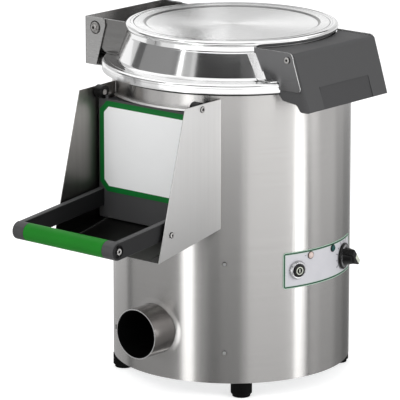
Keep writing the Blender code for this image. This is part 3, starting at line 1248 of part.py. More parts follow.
def belt_loop(extra):
    """The belt's loop round both pulleys, moved outwards by extra."""
    lean = asin((PULLEY_R - MOTOR_PULLEY_R) / MOTOR_Y)
    big = arc((0, 0), PULLEY_R + extra, pi - lean, tau + lean, FIT_STEPS)
    small = arc((0, MOTOR_Y), MOTOR_PULLEY_R + extra, lean, pi - lean, SMALL_STEPS)
    return big + small


def make_belt():
    low = PULLEY_Z + BELT_EDGE
    high = PULLEY_Z + PULLEY_W - BELT_EDGE
    belt = add("drive_belt", extruded(belt_loop(SLIDE_GAP + BELT_T), "Z", low, high), RUBBER)
    combine(belt, guide("belt_inside", extruded(belt_loop(SLIDE_GAP), "Z", low - OVERRUN, high + OVERRUN)))


def make_motor():
    spot = Matrix.Translation((0, MOTOR_Y, 0))
    low = BRACKET_TOP_Z + GAP
    body_low = low + MOTOR_FLANGE_T
    body_high = body_low + MOTOR_BODY_H
    cap_high = body_high + MOTOR_CAP_H
    bore = MOTOR_SHAFT_R + GAP
    bore_top = low + MOTOR_SHAFT_IN + GAP
    tip_r = MOTOR_R - PAN_T / 2
    root_r = tip_r - MOTOR_FIN_H
    core_r = root_r - PAN_T / 2
    outline = [(0, bore_top), (bore, bore_top), (bore, low), (MOTOR_R, low), (MOTOR_R, body_low),
               (core_r, body_low),
               (core_r, body_high), (MOTOR_R, body_high), (MOTOR_R, cap_high - MOTOR_FIN_H),
               (MOTOR_R - MOTOR_FIN_H, cap_high), (0, cap_high)]
    housing = add("motor_housing", moved(turned(outline, PIPE_STEPS), spot), MOTOR_BLUE)
    fins = []
    for i in range(MOTOR_FINS):
        for share, radius in ((0, root_r), (0.25, tip_r), (0.5, tip_r), (0.75, root_r)):
            turn = tau * (i + share) / MOTOR_FINS
            fins.append((radius * cos(turn), radius * sin(turn)))
    fins = extruded(fins, "Z", body_low - PAN_T / 2, body_high + PAN_T / 2)
    combine(housing, guide("motor_fins", moved(fins, spot)), "UNION")
    shaft = disc(MOTOR_SHAFT_R, SHAFT_FOOT_Z, low + MOTOR_SHAFT_IN, SMALL_STEPS)
    add("motor_shaft", moved(shaft, spot), ZINC, motor_axis)
    pulley = [*pulley_rim(MOTOR_PULLEY_R), (bore, PULLEY_Z + PULLEY_W), (bore, PULLEY_Z)]
    add("motor_pulley", moved(turned(pulley, ROUND_STEPS), spot), CAST, motor_axis)


def make_motor_bracket():
    w, t = BRACKET_HALF_W, BRACKET_T
    foot = BASE_TOP_Z + GAP
    top = BRACKET_TOP_Z
    edge = w + BRACKET_FOOT_W
    outline = [(-edge, foot), (-w + t, foot), (-w + t, top - t), (w - t, top - t), (w - t, foot),
               (edge, foot),
               (edge, foot + t), (w, foot + t), (w, top), (-w, top), (-w, foot + t), (-edge, foot + t)]
    shape = extruded(outline, "Y", BRACKET_FRONT_Y, BRACKET_BACK_Y)
    bracket = add("motor_bracket", shape, STEEL)
    hole = disc(MOTOR_SHAFT_HOLE_R, top - t - OVERRUN, top + OVERRUN, SMALL_STEPS)
    combine(bracket, guide("bracket_shaft_hole", moved(hole, Matrix.Translation((0, MOTOR_Y, 0)))))
    room = disc(WALL_IN_R - PAN_T - 2 * GAP, -OVERRUN, top + OVERRUN, DRUM_STEPS)
    combine(bracket, guide("bracket_drum_room", room), "INTERSECT")


def make_electrics():
    w = ELECTRICS_HALF_W
    low = BASE_TOP_Z + GAP
    box = block((ELECTRICS_X, -w, low), (ELECTRICS_X + ELECTRICS_D, w, low + ELECTRICS_H))
    upright = [edge for edge in box.edges if abs(edge.verts[0].co.z - edge.verts[1].co.z) > MERGE]
    bmesh.ops.bevel(box, geom=upright, offset=ELECTRICS_ROUND, affect="EDGES", segments=3, profile=0.5,
                    material=-1)
    add("electrics_box", box, OFF_WHITE)


# Rear fittings

def make_water_inlet():
    frame = facing_out(INLET_ANGLE, INLET_Z, BODY_R)
    inside = -(BODY_R - LINER_IN_R + INLET_INSIDE_L)
    outline = [(INLET_BORE_R, inside), (INLET_R, inside), (INLET_R, GAP), (INLET_FLANGE_R, GAP),
               (INLET_FLANGE_R, GAP + INLET_FLANGE_T), (INLET_R, GAP + INLET_FLANGE_T), (INLET_R, INLET_L),
               (INLET_BORE_R, INLET_L)]
    add("water_inlet", moved(turned(outline, SMALL_STEPS), frame), STEEL)


def make_cable_gland():
    frame = facing_out(GLAND_ANGLE, GLAND_Z, BODY_R)
    seat = GAP
    hexagon = seat + GLAND_HEX_H
    outline = [(GLAND_BORE_R, -SHEET_T - GLAND_INSIDE_L), (GLAND_R, -SHEET_T - GLAND_INSIDE_L),
               (GLAND_R, seat),
               (GLAND_HEX_R, seat), (GLAND_HEX_R, hexagon), (GLAND_CAP_R, hexagon),
               (GLAND_CAP_R, hexagon + GLAND_CAP_H / 2), (GLAND_R, hexagon + GLAND_CAP_H),
               (GLAND_BORE_R, hexagon + GLAND_CAP_H)]
    add("cable_gland", moved(turned(outline, SMALL_STEPS), frame), BLACK_PLASTIC)


make_body_shell()
make_base_plate()
make_feet()
make_liner()
make_sump_pan()
make_drain_pipe()
make_opening_lip()
make_chute()
make_chute_fittings()
make_pivot_bushes()
make_discharge_door()
make_door_label()
make_handle()
make_lid_shell()
make_lid_gasket()
make_hinge_ears()
make_handle_ears()
make_lid_cover()
make_cover_screws()
make_hinge_bracket()
make_hinge_bolts()
make_sensors()
make_control_label()
make_start_button()
make_lamps()
make_timer()
make_shaft()
make_peeling_plate()
make_bearing_housing()
make_driven_pulley()
make_belt()
make_motor()
make_motor_bracket()
make_electrics()
make_water_inlet()
make_cable_gland()
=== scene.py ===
"""Looks of the electric potato peeler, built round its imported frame.

Lengths in the outlines are millimetres. +Z is up, the discharge chute looks along -Y, the control
panel and the lid's handle lie at +X and the lid's hinge at -X.
"""
from math import atan, cos, degrees, hypot, pi, radians, sin, sqrt, tan, tau

import bmesh
import bpy
from mathutils import Matrix, Vector


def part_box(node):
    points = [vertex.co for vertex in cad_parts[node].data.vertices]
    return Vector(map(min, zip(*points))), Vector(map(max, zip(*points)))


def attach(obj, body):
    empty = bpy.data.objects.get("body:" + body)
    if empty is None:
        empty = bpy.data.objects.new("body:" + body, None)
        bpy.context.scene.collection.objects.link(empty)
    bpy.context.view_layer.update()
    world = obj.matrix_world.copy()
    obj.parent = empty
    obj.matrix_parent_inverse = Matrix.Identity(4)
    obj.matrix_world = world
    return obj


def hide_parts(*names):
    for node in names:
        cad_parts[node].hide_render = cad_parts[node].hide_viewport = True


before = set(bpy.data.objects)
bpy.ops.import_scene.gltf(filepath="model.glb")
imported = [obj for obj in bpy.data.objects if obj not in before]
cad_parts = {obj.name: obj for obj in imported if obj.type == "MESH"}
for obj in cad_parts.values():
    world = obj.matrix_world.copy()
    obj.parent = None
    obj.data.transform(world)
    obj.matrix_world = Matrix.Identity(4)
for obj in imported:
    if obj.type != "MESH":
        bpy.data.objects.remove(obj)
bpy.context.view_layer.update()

MM = 0.001
MERGE = 0.003 * MM
SEAT = 0.3
SIDES = (("left", -1), ("right", 1))
ENDS = (("front", -1), ("rear", 1))

# Drum. Places on its wall are (angle from the chute, height).
DRUM_R = 180.0
DRUM_H = 440.0
DRUM_STEPS = 192
SHEET = 1.5
BRIM_R = 173.5
# How far below the lid the painted shadow under its rim begins.
RIM_SHADOW_DROP = 5.2
ON_DRUM_R = DRUM_R + SEAT
OPENING_HALF_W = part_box("opening_lip")[1].x / MM
OPENING_LOW = 234.96
OPENING_HIGH = 410.96
LINING_R = 175.2
LINING_OUT_R = 178.2
LIP_R = 184.5
RIVET_ANGLES = (36.5, 143.5, 216.5, 323.5)
FLOOR_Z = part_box("foot_front_left")[0].z / MM
DRAIN = (0, 73)
DRAIN_R = 38.05
DRAIN_IN_R = 36.55
DRAIN_REACH = 221
INLET = (pi, 385)
INLET_HOLE_R = 13.5
GLAND = (pi, 40)
GLAND_HOLE_R = 10.3

# Chute and door
CHEEK_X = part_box("discharge_chute")[1].x / MM
CHUTE_FRONT = (-287.0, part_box("discharge_chute")[0].z / MM + SHEET)
CHUTE_SLOPE = radians(10.2)
PANEL_Y = -190.5
PANEL_LOW = OPENING_LOW - 3
PIVOT = (-190.0, OPENING_HIGH + 11.5)
GLIDE = (-258.5, CHUTE_FRONT[1] + 36)
BUSH_X = CHEEK_X - SHEET - 1.3
GRIP_AXIS = (-367.0, PANEL_LOW + 13.5)
GRIP_R = 13.25
ARM_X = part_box("handle_grip")[1].x / MM + 21.5
ARM_T = 9.5

# Lid
RIM_R = 195.3
LID_Z = 440.6
LEDGE_Z = 455.6
CONE_FOOT_R = 171.0
CONE_TOP = (157.0, 494.1)
BEAD = (154.7, 507.1, 5.0)
DISC_R = 127.6
HINGE = (-194.0, 491.5)
BRACKET_HALF_L = 90.75
EAR_PLATE_GAP = 0.4
COVER_HALF_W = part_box("lid_handle_cover")[1].y / MM
COVER_TOP = 500.5
COVER_FOOT = 417.0
COVER_SCREW = (184.5, 491.0)
COVER_T = 2.5

# Control panel
LABEL_T = 0.5
LABEL_ANGLE = radians(91)
LABEL_SPREAD = radians(26.3)
LABEL_HALF = (82.6, 27.4)
LABEL_CORNER = 4.2
LABEL_Z = 167.9
FACE_R = 181.1
KNOB = (radians(107.5), 167.0)
KNOB_TURN = radians(48)
BUTTON = (radians(72.3), 167.6)
WHITE_LAMP = (radians(80.1), 186.5)
GREEN_LAMP = (radians(96.2), 187.2)
DIAL_START = 210

# Studio, in metres and degrees
VIEW_TURN = 40.3
VIEW_RISE = 13.98
VIEW_AWAY = 4.9
VIEW_TARGET = Vector((-36.5, -31.0, 235.7)) * MM
LENS = 290.6
CARD_R = 0.8
FLOOR_LIFT = 0.56
AIR_LEVEL = 0.72
CEILING_LEVEL = 1.35

# Cards that only gloss can see, as rows between two heights. Each card runs from one angle to the
# next, counted to the right of the camera, with its brightness between the two.
CARD_ROWS = {
    "drum": (-0.8, 0.272,
             (-180, 0.72, -110, 0.24, -102, 0.54, -45.5, 1.3, -43.2, 3.0, -33.2, 0.62, -27, 0.45, -21, 0.26, -10,
              0.37, 8, 0.66, 13, 1.0, 56, 3.0, 67, 0.3, 73, 0.78, 84, 0.66, 108, 0.42, 124, 0.28, 150, 0.8, 180)),
    "eaves": (0.272, 0.3,
              (-180, 0.72, -110, 0.24, -95, 0.58, -63, 0.58, -61, 0.25, -54, 1.2, -36, 0.7, 8, 0.8, 56, 1.4, 67,
               0.6, 150, 0.8, 180)),
    "rim": (0.3, 0.56,
            (-180, 2.2, -172, 1.1, -100, 0.5, -86, 0.14, -84.2, 0.5, -78, 0.9, -60, 1.5, 50, 1.6, 80, 0.9, 180)),
    "cone": (0.56, 0.9,
             (-180, 1.3, -177.2, 0.05, -174, 1.1, -146, 0.72, -112, 0.12, -100, 0.3, -60, 0.2, -54, 2.6, -50.5, 0.5,
              -41, 0.75, -36.5, 0.05, 8, 0.11, 22, 0.95, 62, 2.4, 79, 0.7, 150, 0.85, 166, 1.0, 180)),
    "top": (0.9, 1.6, (-180, 0.3, -174, 0.12, -165, 0.8, -150, 1.35, 130, 0.1, 172, 0.3, 180)),
}


# Shaping tools

def arc(centre, radius, start, end, steps):
    """Points of a round, in degrees from the outline's first axis."""
    turns = [radians(start + (end - start) * i / steps) for i in range(steps + 1)]
    return [(centre[0] + radius * cos(a), centre[1] + radius * sin(a)) for a in turns]


def rounded(half_wide, half_tall, corner):
    """Outline of a rectangle with round corners."""
    x, y = half_wide - corner, half_tall - corner
    return [point for i, centre in enumerate([(x, y), (-x, y), (-x, -y), (x, -y)])
            for point in arc(centre, corner, 90 * i, 90 * i + 90, 5)]


def spun(outline, steps=120):
    """Turn an outline of (radius, height) about Z. It may start and end on the axis."""
    shape = bmesh.new()
    points = [shape.verts.new((radius * MM, 0, height * MM)) for radius, height in outline]
    pairs = list(zip(points, points[1:]))
    if outline[0][0] > 0:
        pairs.append((points[-1], points[0]))
    edges = [shape.edges.new(pair) for pair in pairs]
    bmesh.ops.spin(shape, geom=points + edges, axis=(0, 0, 1), cent=(0, 0, 0), angle=tau, steps=steps,
                   use_merge=True)
    return tidied(shape)


def rod(radius, low, high, steps=48):
    return spun([(0, low), (radius, low), (radius, high), (0, high)], steps)


def tube(inner, outer, low, high, steps=48):
    return spun([(inner, low), (outer, low), (outer, high), (inner, high)], steps)


def tidied(shape):
    """Close seams and poles and turn every face outwards."""
    bmesh.ops.remove_doubles(shape, verts=shape.verts, dist=MERGE)
    bmesh.ops.recalc_face_normals(shape, faces=shape.faces)
    return shape


def pulled(shape, faces, way):
    """Extrude faces by a vector in metres and give what that made."""
    grown = bmesh.ops.extrude_face_region(shape, geom=faces)["geom"]
    bmesh.ops.translate(shape, vec=way, verts=[v for v in grown if isinstance(v, bmesh.types.BMVert)])
    return grown


def slab(outline, plane, low, high):
    """A flat outline given its thickness along X, Y or Z."""
    shape = bmesh.new()
    spread = {"X": lambda a, b: (low, a, b), "Y": lambda a, b: (a, low, b), "Z": lambda a, b: (a, b, low)}
    corners = [shape.verts.new(Vector(spread[plane](a, b)) * MM) for a, b in outline]
    pulled(shape, [shape.faces.new(corners)], Vector([(high - low) * MM if axis == plane else 0 for axis in "XYZ"]))
    return tidied(shape)


def brick(low, high):
    plan = [(low[0], low[1]), (high[0], low[1]), (high[0], high[1]), (low[0], high[1])]
    return slab(plan, "Z", low[2], high[2])


def ordered(side, near, far):
    """Two distances from the middle plane on one side of it, the lowest first."""
    return sorted((side * near, side * far))


def eased(shape, width, segments=3, sharper=35):
    """Round every edge that turns by more than an angle in degrees."""
    edges = [e for e in shape.edges if e.is_manifold and e.calc_face_angle(0) > radians(sharper)]
    bmesh.ops.bevel(shape, geom=edges, offset=width * MM, segments=segments, profile=0.5, affect="EDGES",
                    material=-1, clamp_overlap=True)
    return shape


def moved(shape, matrix):
    bmesh.ops.transform(shape, matrix=matrix, verts=shape.verts)
    return shape


def facing_out(place, radius):
    """Stands a shape on the drum: its Z points out of the wall and its Y up."""
    angle, height = place
    out = Vector((sin(angle), -cos(angle), 0))
    turn = Matrix((Vector((cos(angle), sin(angle), 0)), Vector((0, 0, 1)), out)).transposed().to_4x4()
    return Matrix.Translation(out * radius * MM + Vector((0, 0, height * MM))) @ turn


def aimed(direction, place):
    """Points a shape's Z in a direction, at a place in millimetres."""
    turn = Vector(direction).to_track_quat("Z", "Y").to_matrix().to_4x4()
    return Matrix.Translation(Vector(place) * MM) @ turn


def mirrored(shape):
    """The same shape on the other side of the middle, left for right."""
    twin = shape.copy()
    bmesh.ops.scale(twin, vec=(-1, 1, 1), verts=twin.verts)
    return tidied(twin)


def joined(*shapes):
    """Several shapes as one mesh."""
    whole = bmesh.new()
    for shape in shapes:
        mesh = as_mesh(shape, "part_of_piece")
        whole.from_mesh(mesh)
        bpy.data.meshes.remove(mesh)
    return whole


def as_mesh(shape, name):
    mesh = bpy.data.meshes.new(name)
    shape.to_mesh(mesh)
    shape.free()
    return mesh


def in_scene(name, data):
    made = bpy.data.objects.new(name, data)
    bpy.context.scene.collection.objects.link(made)
    return made


def as_finished(made):
    """What an object's modifiers or text make of it, as a mesh."""
    return bpy.data.meshes.new_from_object(made.evaluated_get(bpy.context.evaluated_depsgraph_get()))


def cut(shape, tool, how="DIFFERENCE"):
    """Take the tool's space out of a shape, or keep only what is in it."""
    kept, taken = [in_scene(name, as_mesh(s, name)) for name, s in (("kept", shape), ("tool", tool))]
    step = kept.modifiers.new("cut", "BOOLEAN")
    step.operation = how
    step.object = taken
    result = bmesh.new()
    result.from_object(kept, bpy.context.evaluated_depsgraph_get())
    for part in (kept, taken):
        mesh = part.data
        bpy.data.objects.remove(part)
        bpy.data.meshes.remove(mesh)
    bmesh.ops.remove_doubles(result, verts=result.verts, dist=MERGE)
    return result


def painted(shape, choose):
    """Give each face the finish that choose(middle, normal) numbers."""
    for face in shape.faces:
        face.material_index = choose(face.calc_center_median() / MM, face.normal)
    return shape


def keep_flats(made):
    """Shade large faces flat up to their rounded edges."""
    rough = made.data
    step = made.modifiers.new("flats", "WEIGHTED_NORMAL")
    step.keep_sharp = True
    made.data = as_finished(made)
    made.modifiers.clear()
    bpy.data.meshes.remove(rough)


def piece(name, shape, finishes, slot, *nodes, body="housing", smooth=32):
    """Put a finished shape in the scene: its finishes, the nodes it stands for and what it rides on."""
    mesh = as_mesh(shape, name)
    for finish in finishes if isinstance(finishes, list) else [finishes]:
        mesh.materials.append(finish)
    mesh.shade_smooth()
    mesh.set_sharp_from_angle(angle=radians(smooth))
    made = in_scene(name, mesh)
    keep_flats(made)
    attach(made, body)
    if nodes:
        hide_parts(*nodes)


# Finishes

def node(tree, kind, inputs=(), **settings):
    """Add a node with its settings and what goes into its sockets."""
    made = tree.nodes.new(kind)
    for name, value in settings.items():
        setattr(made, name, value)
    for socket, value in dict(inputs).items():
        if isinstance(value, bpy.types.NodeSocket):
            tree.links.new(value, made.inputs[socket])
        else:
            made.inputs[socket].default_value = value
    return made


class Finish:
    """A material under construction: its shader and the nodes that feed it."""

    def __init__(self, name, colour, roughness, metallic=0.0, **fixed):
        self.material = bpy.data.materials.new(name)
        self.material.use_nodes = True
        self.tree = self.material.node_tree
        self.shader = self.tree.nodes["Principled BSDF"]
        self.swelling = None
        self.fix(Base_Color=(*colour, 1), Roughness=roughness, Metallic=metallic, **fixed)

    def fix(self, **values):
        for socket, value in values.items():
            self.shader.inputs[socket.replace("_", " ")].default_value = value

    def add(self, kind, inputs=(), **settings):
        return node(self.tree, kind, inputs, **settings)

    def place(self, scale=(1, 1, 1)):
        """Coordinates in metres on the piece, stretched."""
        spot = self.add("ShaderNodeTexCoord").outputs["Object"]
        return self.add("ShaderNodeMapping", {"Vector": spot, "Scale": scale}).outputs["Vector"]

    def noise(self, scale, detail=3.0, stretch=(1, 1, 1)):
        return self.add("ShaderNodeTexNoise", {"Vector": self.place(stretch), "Scale": scale, "Detail": detail,
                                               "Roughness": 0.6}).outputs["Fac"]

    def ranged(self, value, low, high, from_low=0.25, from_high=0.75):
        """A value carried from one range to another, and held at the ends."""
        return self.add("ShaderNodeMapRange", {"Value": value, "From Min": from_low, "From Max": from_high,
                                               "To Min": low, "To Max": high}).outputs["Result"]

    def blend(self, amount, first, second):
        """A colour between two, each a plain colour or what a node gives."""
        ends = [end if isinstance(end, bpy.types.NodeSocket) else (*end, 1) for end in (first, second)]
        return self.add("ShaderNodeMix", {"Factor": amount, 6: ends[0], 7: ends[1]}, data_type="RGBA").outputs[2]

    def maths(self, how, first, second=0.0):
        return self.add("ShaderNodeMath", {0: first, 1: second}, operation=how).outputs["Value"]

    def vector(self, how, first, second=(0, 0, 0)):
        answer = "Value" if how in ("LENGTH", "DISTANCE") else "Vector"
        return self.add("ShaderNodeVectorMath", {0: first, 1: second}, operation=how).outputs[answer]

    def feed(self, **sources):
        for socket, source in sources.items():
            self.tree.links.new(source, self.shader.inputs[socket.replace("_", " ")])
        return self

    def follow_axis(self):
        """Run the smear of the gloss round the Z axis."""
        return self.feed(Tangent=self.add("ShaderNodeTangent", direction_type="RADIAL", axis="Z").outputs["Tangent"])

    def bump(self, height, strength, depth):
        """Fine relief, depth in millimetres, over any swelling made before it."""
        relief = {"Height": height, "Strength": strength, "Distance": depth * MM}
        if self.swelling:
            relief["Normal"] = self.swelling
        return self.feed(Normal=self.add("ShaderNodeBump", relief).outputs["Normal"])

    def swell(self, height):
        """A large soft form that the gloss follows, its height in metres."""
        form = self.add("ShaderNodeBump", {"Height": height, "Strength": 1.0, "Distance": 1.0})
        self.swelling = form.outputs["Normal"]


def shade(colour, factor):
    return tuple(channel * factor for channel in colour)


def brushed(name, colour, grain, rough, contrast=0.06, depth=0.02, drawn_out=0.0, turn=0.25, fade=None, collar=None):
    """Brushed sheet. grain stretches the brush lines and rough is its lowest and highest roughness.
    drawn_out is how far the gloss is smeared, upwards at turn 0.25 and round the Z axis at turn 0.
    fade is two heights and how much of the colour is left at the lower one, a painted shade that darkens the sheet
    towards the bottom. collar is the middle of a welded pipe, two radii between which the sheet swells towards the
    pipe, and by how much."""
    steel = Finish(name, colour, rough[0], 1.0)
    lines = steel.noise(1.0, 4.0, grain)
    strokes = steel.noise(1.0, 3.0, [size * 0.3 for size in grain])
    clouds = steel.noise(9.0, 2.0)
    tone = steel.maths("ADD", steel.maths("MULTIPLY", strokes, 0.6), steel.maths("MULTIPLY", clouds, 0.4))
    metal = steel.blend(steel.ranged(tone, 0, 1, 0.32, 0.68), shade(colour, 1 - contrast),
                        shade(colour, 1 + contrast))
    # Painted shade: the colour darkens towards the lower of the two heights.
    if fade:
        height = steel.add("ShaderNodeSeparateXYZ", {"Vector": steel.place()}).outputs["Z"]
        shade_left = steel.ranged(height, fade[2], 1.0, fade[0] * MM, fade[1] * MM)
        metal = steel.add("ShaderNodeVectorMath", {0: metal, "Scale": shade_left}, operation="SCALE").outputs["Vector"]
    steel.feed(Base_Color=metal, Roughness=steel.ranged(lines, *rough))
    if collar:
        middle, near, far, rise = collar
        away = steel.vector("DISTANCE", steel.place(), Vector(middle) * MM)
        drawn = steel.ranged(away, rise * MM, 0, near * MM, far * MM)
        drawn.node.interpolation_type = "SMOOTHSTEP"
        steel.swell(drawn)
    steel.bump(lines, 0.25, depth)
    if drawn_out:
        steel.fix(Anisotropic=drawn_out, Anisotropic_Rotation=turn)
        steel.follow_axis()
    return steel.material


def grooved(name, colour, rough, grooves, depth, turned, crown=0.0, turn=0.25):
    """Polished sheet spun on a lathe, with fine grooves that run round its axis. crown makes it gleam
    like a sheet that bulges a little, by its slope 0.1 m from the middle."""
    steel = Finish(name, colour, rough[0], 1.0, Anisotropic=turned, Anisotropic_Rotation=turn)
    radius = steel.vector("LENGTH", steel.place((1, 1, 0)))
    rings = steel.add("ShaderNodeTexNoise", {"W": radius, "Scale": grooves, "Detail": 4.0, "Roughness": 0.7},
                      noise_dimensions="1D").outputs["Fac"]
    smears = steel.noise(14.0, 4.0)
    steel.feed(Roughness=steel.maths("ADD", steel.ranged(rings, *rough), steel.ranged(smears, 0, 0.03)),
               Base_Color=steel.blend(steel.ranged(smears, 0, 1), shade(colour, 0.96), shade(colour, 1.03)))
    steel.follow_axis()
    if crown:
        steel.swell(steel.maths("MULTIPLY", steel.maths("POWER", radius, 2.0), -crown * 5))
    return steel.bump(rings, 0.3, depth).material


def moulded(name, colour, rough, grain=1400.0, depth=0.03, wear=0.08, gleam=0.5, **fixed):
    """Moulded plastic, rubber or print with a fine grain and a little scuffing."""
    plastic = Finish(name, colour, rough[0], Specular_IOR_Level=gleam, **fixed)
    skin = plastic.noise(grain, 2.0)
    scuffs = plastic.noise(22.0, 5.0)
    worn = plastic.blend(plastic.ranged(scuffs, 0, 1, 0.3, 0.8), shade(colour, 1 - wear), shade(colour, 1 + wear))
    plastic.feed(Roughness=plastic.ranged(scuffs, *rough), Base_Color=worn)
    return plastic.bump(skin, 0.35, depth).material


def plated(name, colour, rough):
    """Plated or turned metal with small stains."""
    metal = Finish(name, colour, rough[0], 1.0)
    stains = metal.noise(60.0, 5.0)
    metal.feed(Roughness=metal.ranged(stains, *rough),
               Base_Color=metal.blend(metal.ranged(stains, 0, 1), shade(colour, 0.88), shade(colour, 1.06)))
    return metal.bump(metal.noise(600.0, 2.0), 0.1, 0.02).material


def gritted():
    """Abrasive grains in a dark binder."""
    grit = Finish("abrasive_grit", (0.1, 0.1, 0.105), 0.9)
    grains = grit.add("ShaderNodeTexVoronoi", {"Vector": grit.place(), "Scale": 420.0}).outputs["Distance"]
    patches = grit.noise(30.0, 4.0)
    grit.feed(Base_Color=grit.blend(grit.ranged(grains, 0, 1, 0.1, 0.6), (0.055, 0.055, 0.06), (0.19, 0.185, 0.18)),
              Roughness=grit.ranged(patches, 0.75, 1.0))
    return grit.bump(grains, 0.9, 0.5).material


def framed_print():
    """The control panel's printed film: a pale field and a green line that follows its rounded edge."""
    film = Finish("panel_print", (0.6, 0.6, 0.64), 0.35)
    line_in, line_half_w, tint_in = 2.0, 1.15, 5.5
    away = film.vector("ABSOLUTE", film.add("ShaderNodeTexCoord").outputs["UV"])
    reach = Vector(((LABEL_HALF[0] - LABEL_CORNER) * MM, (LABEL_HALF[1] - LABEL_CORNER) * MM, 0))
    over = film.vector("SUBTRACT", away, reach)
    sides = film.add("ShaderNodeSeparateXYZ", {"Vector": over})
    far = film.vector("LENGTH", film.vector("MAXIMUM", over))
    inside = film.maths("MINIMUM", film.maths("MAXIMUM", sides.outputs["X"], sides.outputs["Y"]), 0.0)
    edge = film.maths("ADD", far, inside)
    line = film.maths("COMPARE", edge, (LABEL_CORNER - line_in) * MM)
    line.node.inputs[2].default_value = line_half_w * MM
    mottled = film.noise(40.0, 3.0)
    field = film.blend(film.ranged(mottled, 0, 1), (0.68, 0.68, 0.72), (0.73, 0.725, 0.765))
    tint = film.ranged(edge, 0, 1, (LABEL_CORNER - tint_in) * MM, LABEL_CORNER * MM)
    field = film.blend(tint, field, (0.50, 0.70, 0.56))
    film.feed(Base_Color=film.blend(line, field, (0.002, 0.075, 0.03)), Roughness=film.ranged(mottled, 0.28, 0.42))
    return film.bump(film.noise(900.0, 2.0), 0.08, 0.02).material


DRUM_STEEL = brushed("brushed_drum_steel", (0.56, 0.55, 0.54), (14, 14, 900), (0.252, 0.268), 0.02, 0.004, 0.9,
                     collar=((0, -176, DRAIN[1]), 37, 48, 0.5))
# The cheeks' outer faces are painted darker towards the bottom. Their inward faces and the tray take the shaded copy,
# also painted darker towards the bottom.
CHEEK_STEEL = brushed("brushed_cheek_steel", (0.66, 0.655, 0.65), (900, 900, 14), (0.34, 0.42), 0.03, 0.02, 0.8,
                      0.0, fade=(215, 430, 0.64))
SHADED_STEEL = brushed("shaded_chute_steel", (0.37, 0.355, 0.34), (900, 900, 14), (0.32, 0.42), 0.06, 0.02,
                       fade=(240, 390, 0.12))
# Lit and shaded copies of one brushed steel: the bracket's end plates are painted lighter on their outer faces, the
# rest of the bracket and the hinge plates darker.
SHADED_BRACKET_STEEL = brushed("painted_shade_bracket_steel", (0.36, 0.355, 0.35), (20, 20, 700), (0.18, 0.28), 0.06, 0.015)
LIT_PLATE_STEEL = brushed("painted_light_plate_steel", (0.62, 0.615, 0.61), (20, 20, 700), (0.24, 0.34), 0.05, 0.015)
EAR_STEEL = brushed("brushed_ear_steel", (0.175, 0.175, 0.178), (500, 500, 30), (0.14, 0.2), 0.04, 0.012)
# Painted highlight: a pale steel laid on edges and strips that catch the light.
HIGHLIGHT_STEEL = brushed("painted_highlight_steel", (0.86, 0.86, 0.86), (200, 200, 60), (0.2, 0.32), 0.04, 0.01)
PIPE_STEEL = brushed("brushed_pipe_steel", (0.26, 0.248, 0.242), (700, 40, 700), (0.1, 0.16), 0.06, 0.006)
# Painted shade: a near-black steel for the inside of the drain pipe.
BORE_SHADE_STEEL = brushed("painted_shade_bore_steel", (0.02, 0.02, 0.02), (120, 120, 120), (0.5, 0.7), 0.1, 0.02)
# Painted highlight: the drip lip is a much paler steel than the drum so that it reads as a bright band.
LIP_HIGHLIGHT_STEEL = brushed("painted_highlight_lip_steel", (0.9, 0.89, 0.88), (20, 20, 20), (0.34, 0.38), 0.02, 0.002)
LID_STEEL = grooved("polished_lid_steel", (0.82, 0.82, 0.82), (0.07, 0.11), 900.0, 0.004, 0.5, turn=0.0)
DISC_STEEL = grooved("spun_disc_steel", (0.82, 0.82, 0.82), (0.20, 0.28), 2600.0, 0.008, 0.9, -0.08)
# Painted shade: a darker copy of the spun steel for the lid's grooves.
GROOVE_SHADE_STEEL = grooved("painted_shade_groove_steel", (0.30, 0.30, 0.30), (0.25, 0.4), 2600.0, 0.012, 0.5)
SCREW_STEEL = plated("screw_steel", (0.50, 0.49, 0.48), (0.22, 0.36))
# Painted shade: a near-black steel laid where shade falls, in sockets, round heads and in gaps.
PAINTED_SHADE_STEEL = plated("painted_shade_steel", (0.035, 0.034, 0.033), (0.4, 0.55))
SCREW_PAIR = [SCREW_STEEL, PAINTED_SHADE_STEEL]
CHROME = plated("satin_chrome", (0.50, 0.50, 0.515), (0.2, 0.3))
ZINC = plated("zinc_plate", (0.52, 0.53, 0.54), (0.32, 0.5))
CAST = plated("cast_iron", (0.2, 0.2, 0.21), (0.5, 0.7))
GREY = moulded("grey_moulding", (0.070, 0.070, 0.072), (0.5, 0.64), gleam=0.35)
# Painted shade: a darker grey, with a coarser grain, for the floor of the finger recess.
RECESS_SHADE_GREY = moulded("painted_shade_recess_grey", (0.058, 0.058, 0.06), (0.55, 0.7), 900.0, 0.05, gleam=0.3)
DARK_GREY = moulded("dark_grey_moulding", (0.054, 0.054, 0.056), (0.42, 0.58), gleam=0.4)
# Painted shade: a near-black copy of the door's grey for the arms' sides.
ARM_SHADE_GREY = moulded("painted_shade_arm_grey", (0.014, 0.014, 0.015), (0.4, 0.5), gleam=0.2)
GREEN = moulded("green_grip", (0.008, 0.200, 0.012), (0.45, 0.6), gleam=0.2)
BLACK = moulded("black_plastic", (0.004, 0.004, 0.004), (0.2, 0.34), gleam=0.22)
RUBBER = moulded("black_rubber", (0.004, 0.004, 0.004), (0.5, 0.7), 500.0, 0.08, gleam=0.06)
OFF_WHITE = moulded("off_white_plastic", (0.62, 0.62, 0.59), (0.4, 0.55))
WHITE_INK = moulded("white_ink", (0.78, 0.82, 0.70), (0.35, 0.5))
DARK_INK = moulded("dark_ink", (0.03, 0.04, 0.06), (0.4, 0.55))
MOTOR_PAINT = moulded("motor_paint", (0.04, 0.085, 0.14), (0.3, 0.5), 300.0)
LABEL_GREEN = moulded("label_green", (0.003, 0.145, 0.024), (0.4, 0.5), 900.0, 0.01, gleam=0.2)
LABEL_WHITE = moulded("label_white", (0.94, 0.945, 0.95), (0.35, 0.45), 900.0, 0.01, 0.015, gleam=0.3)
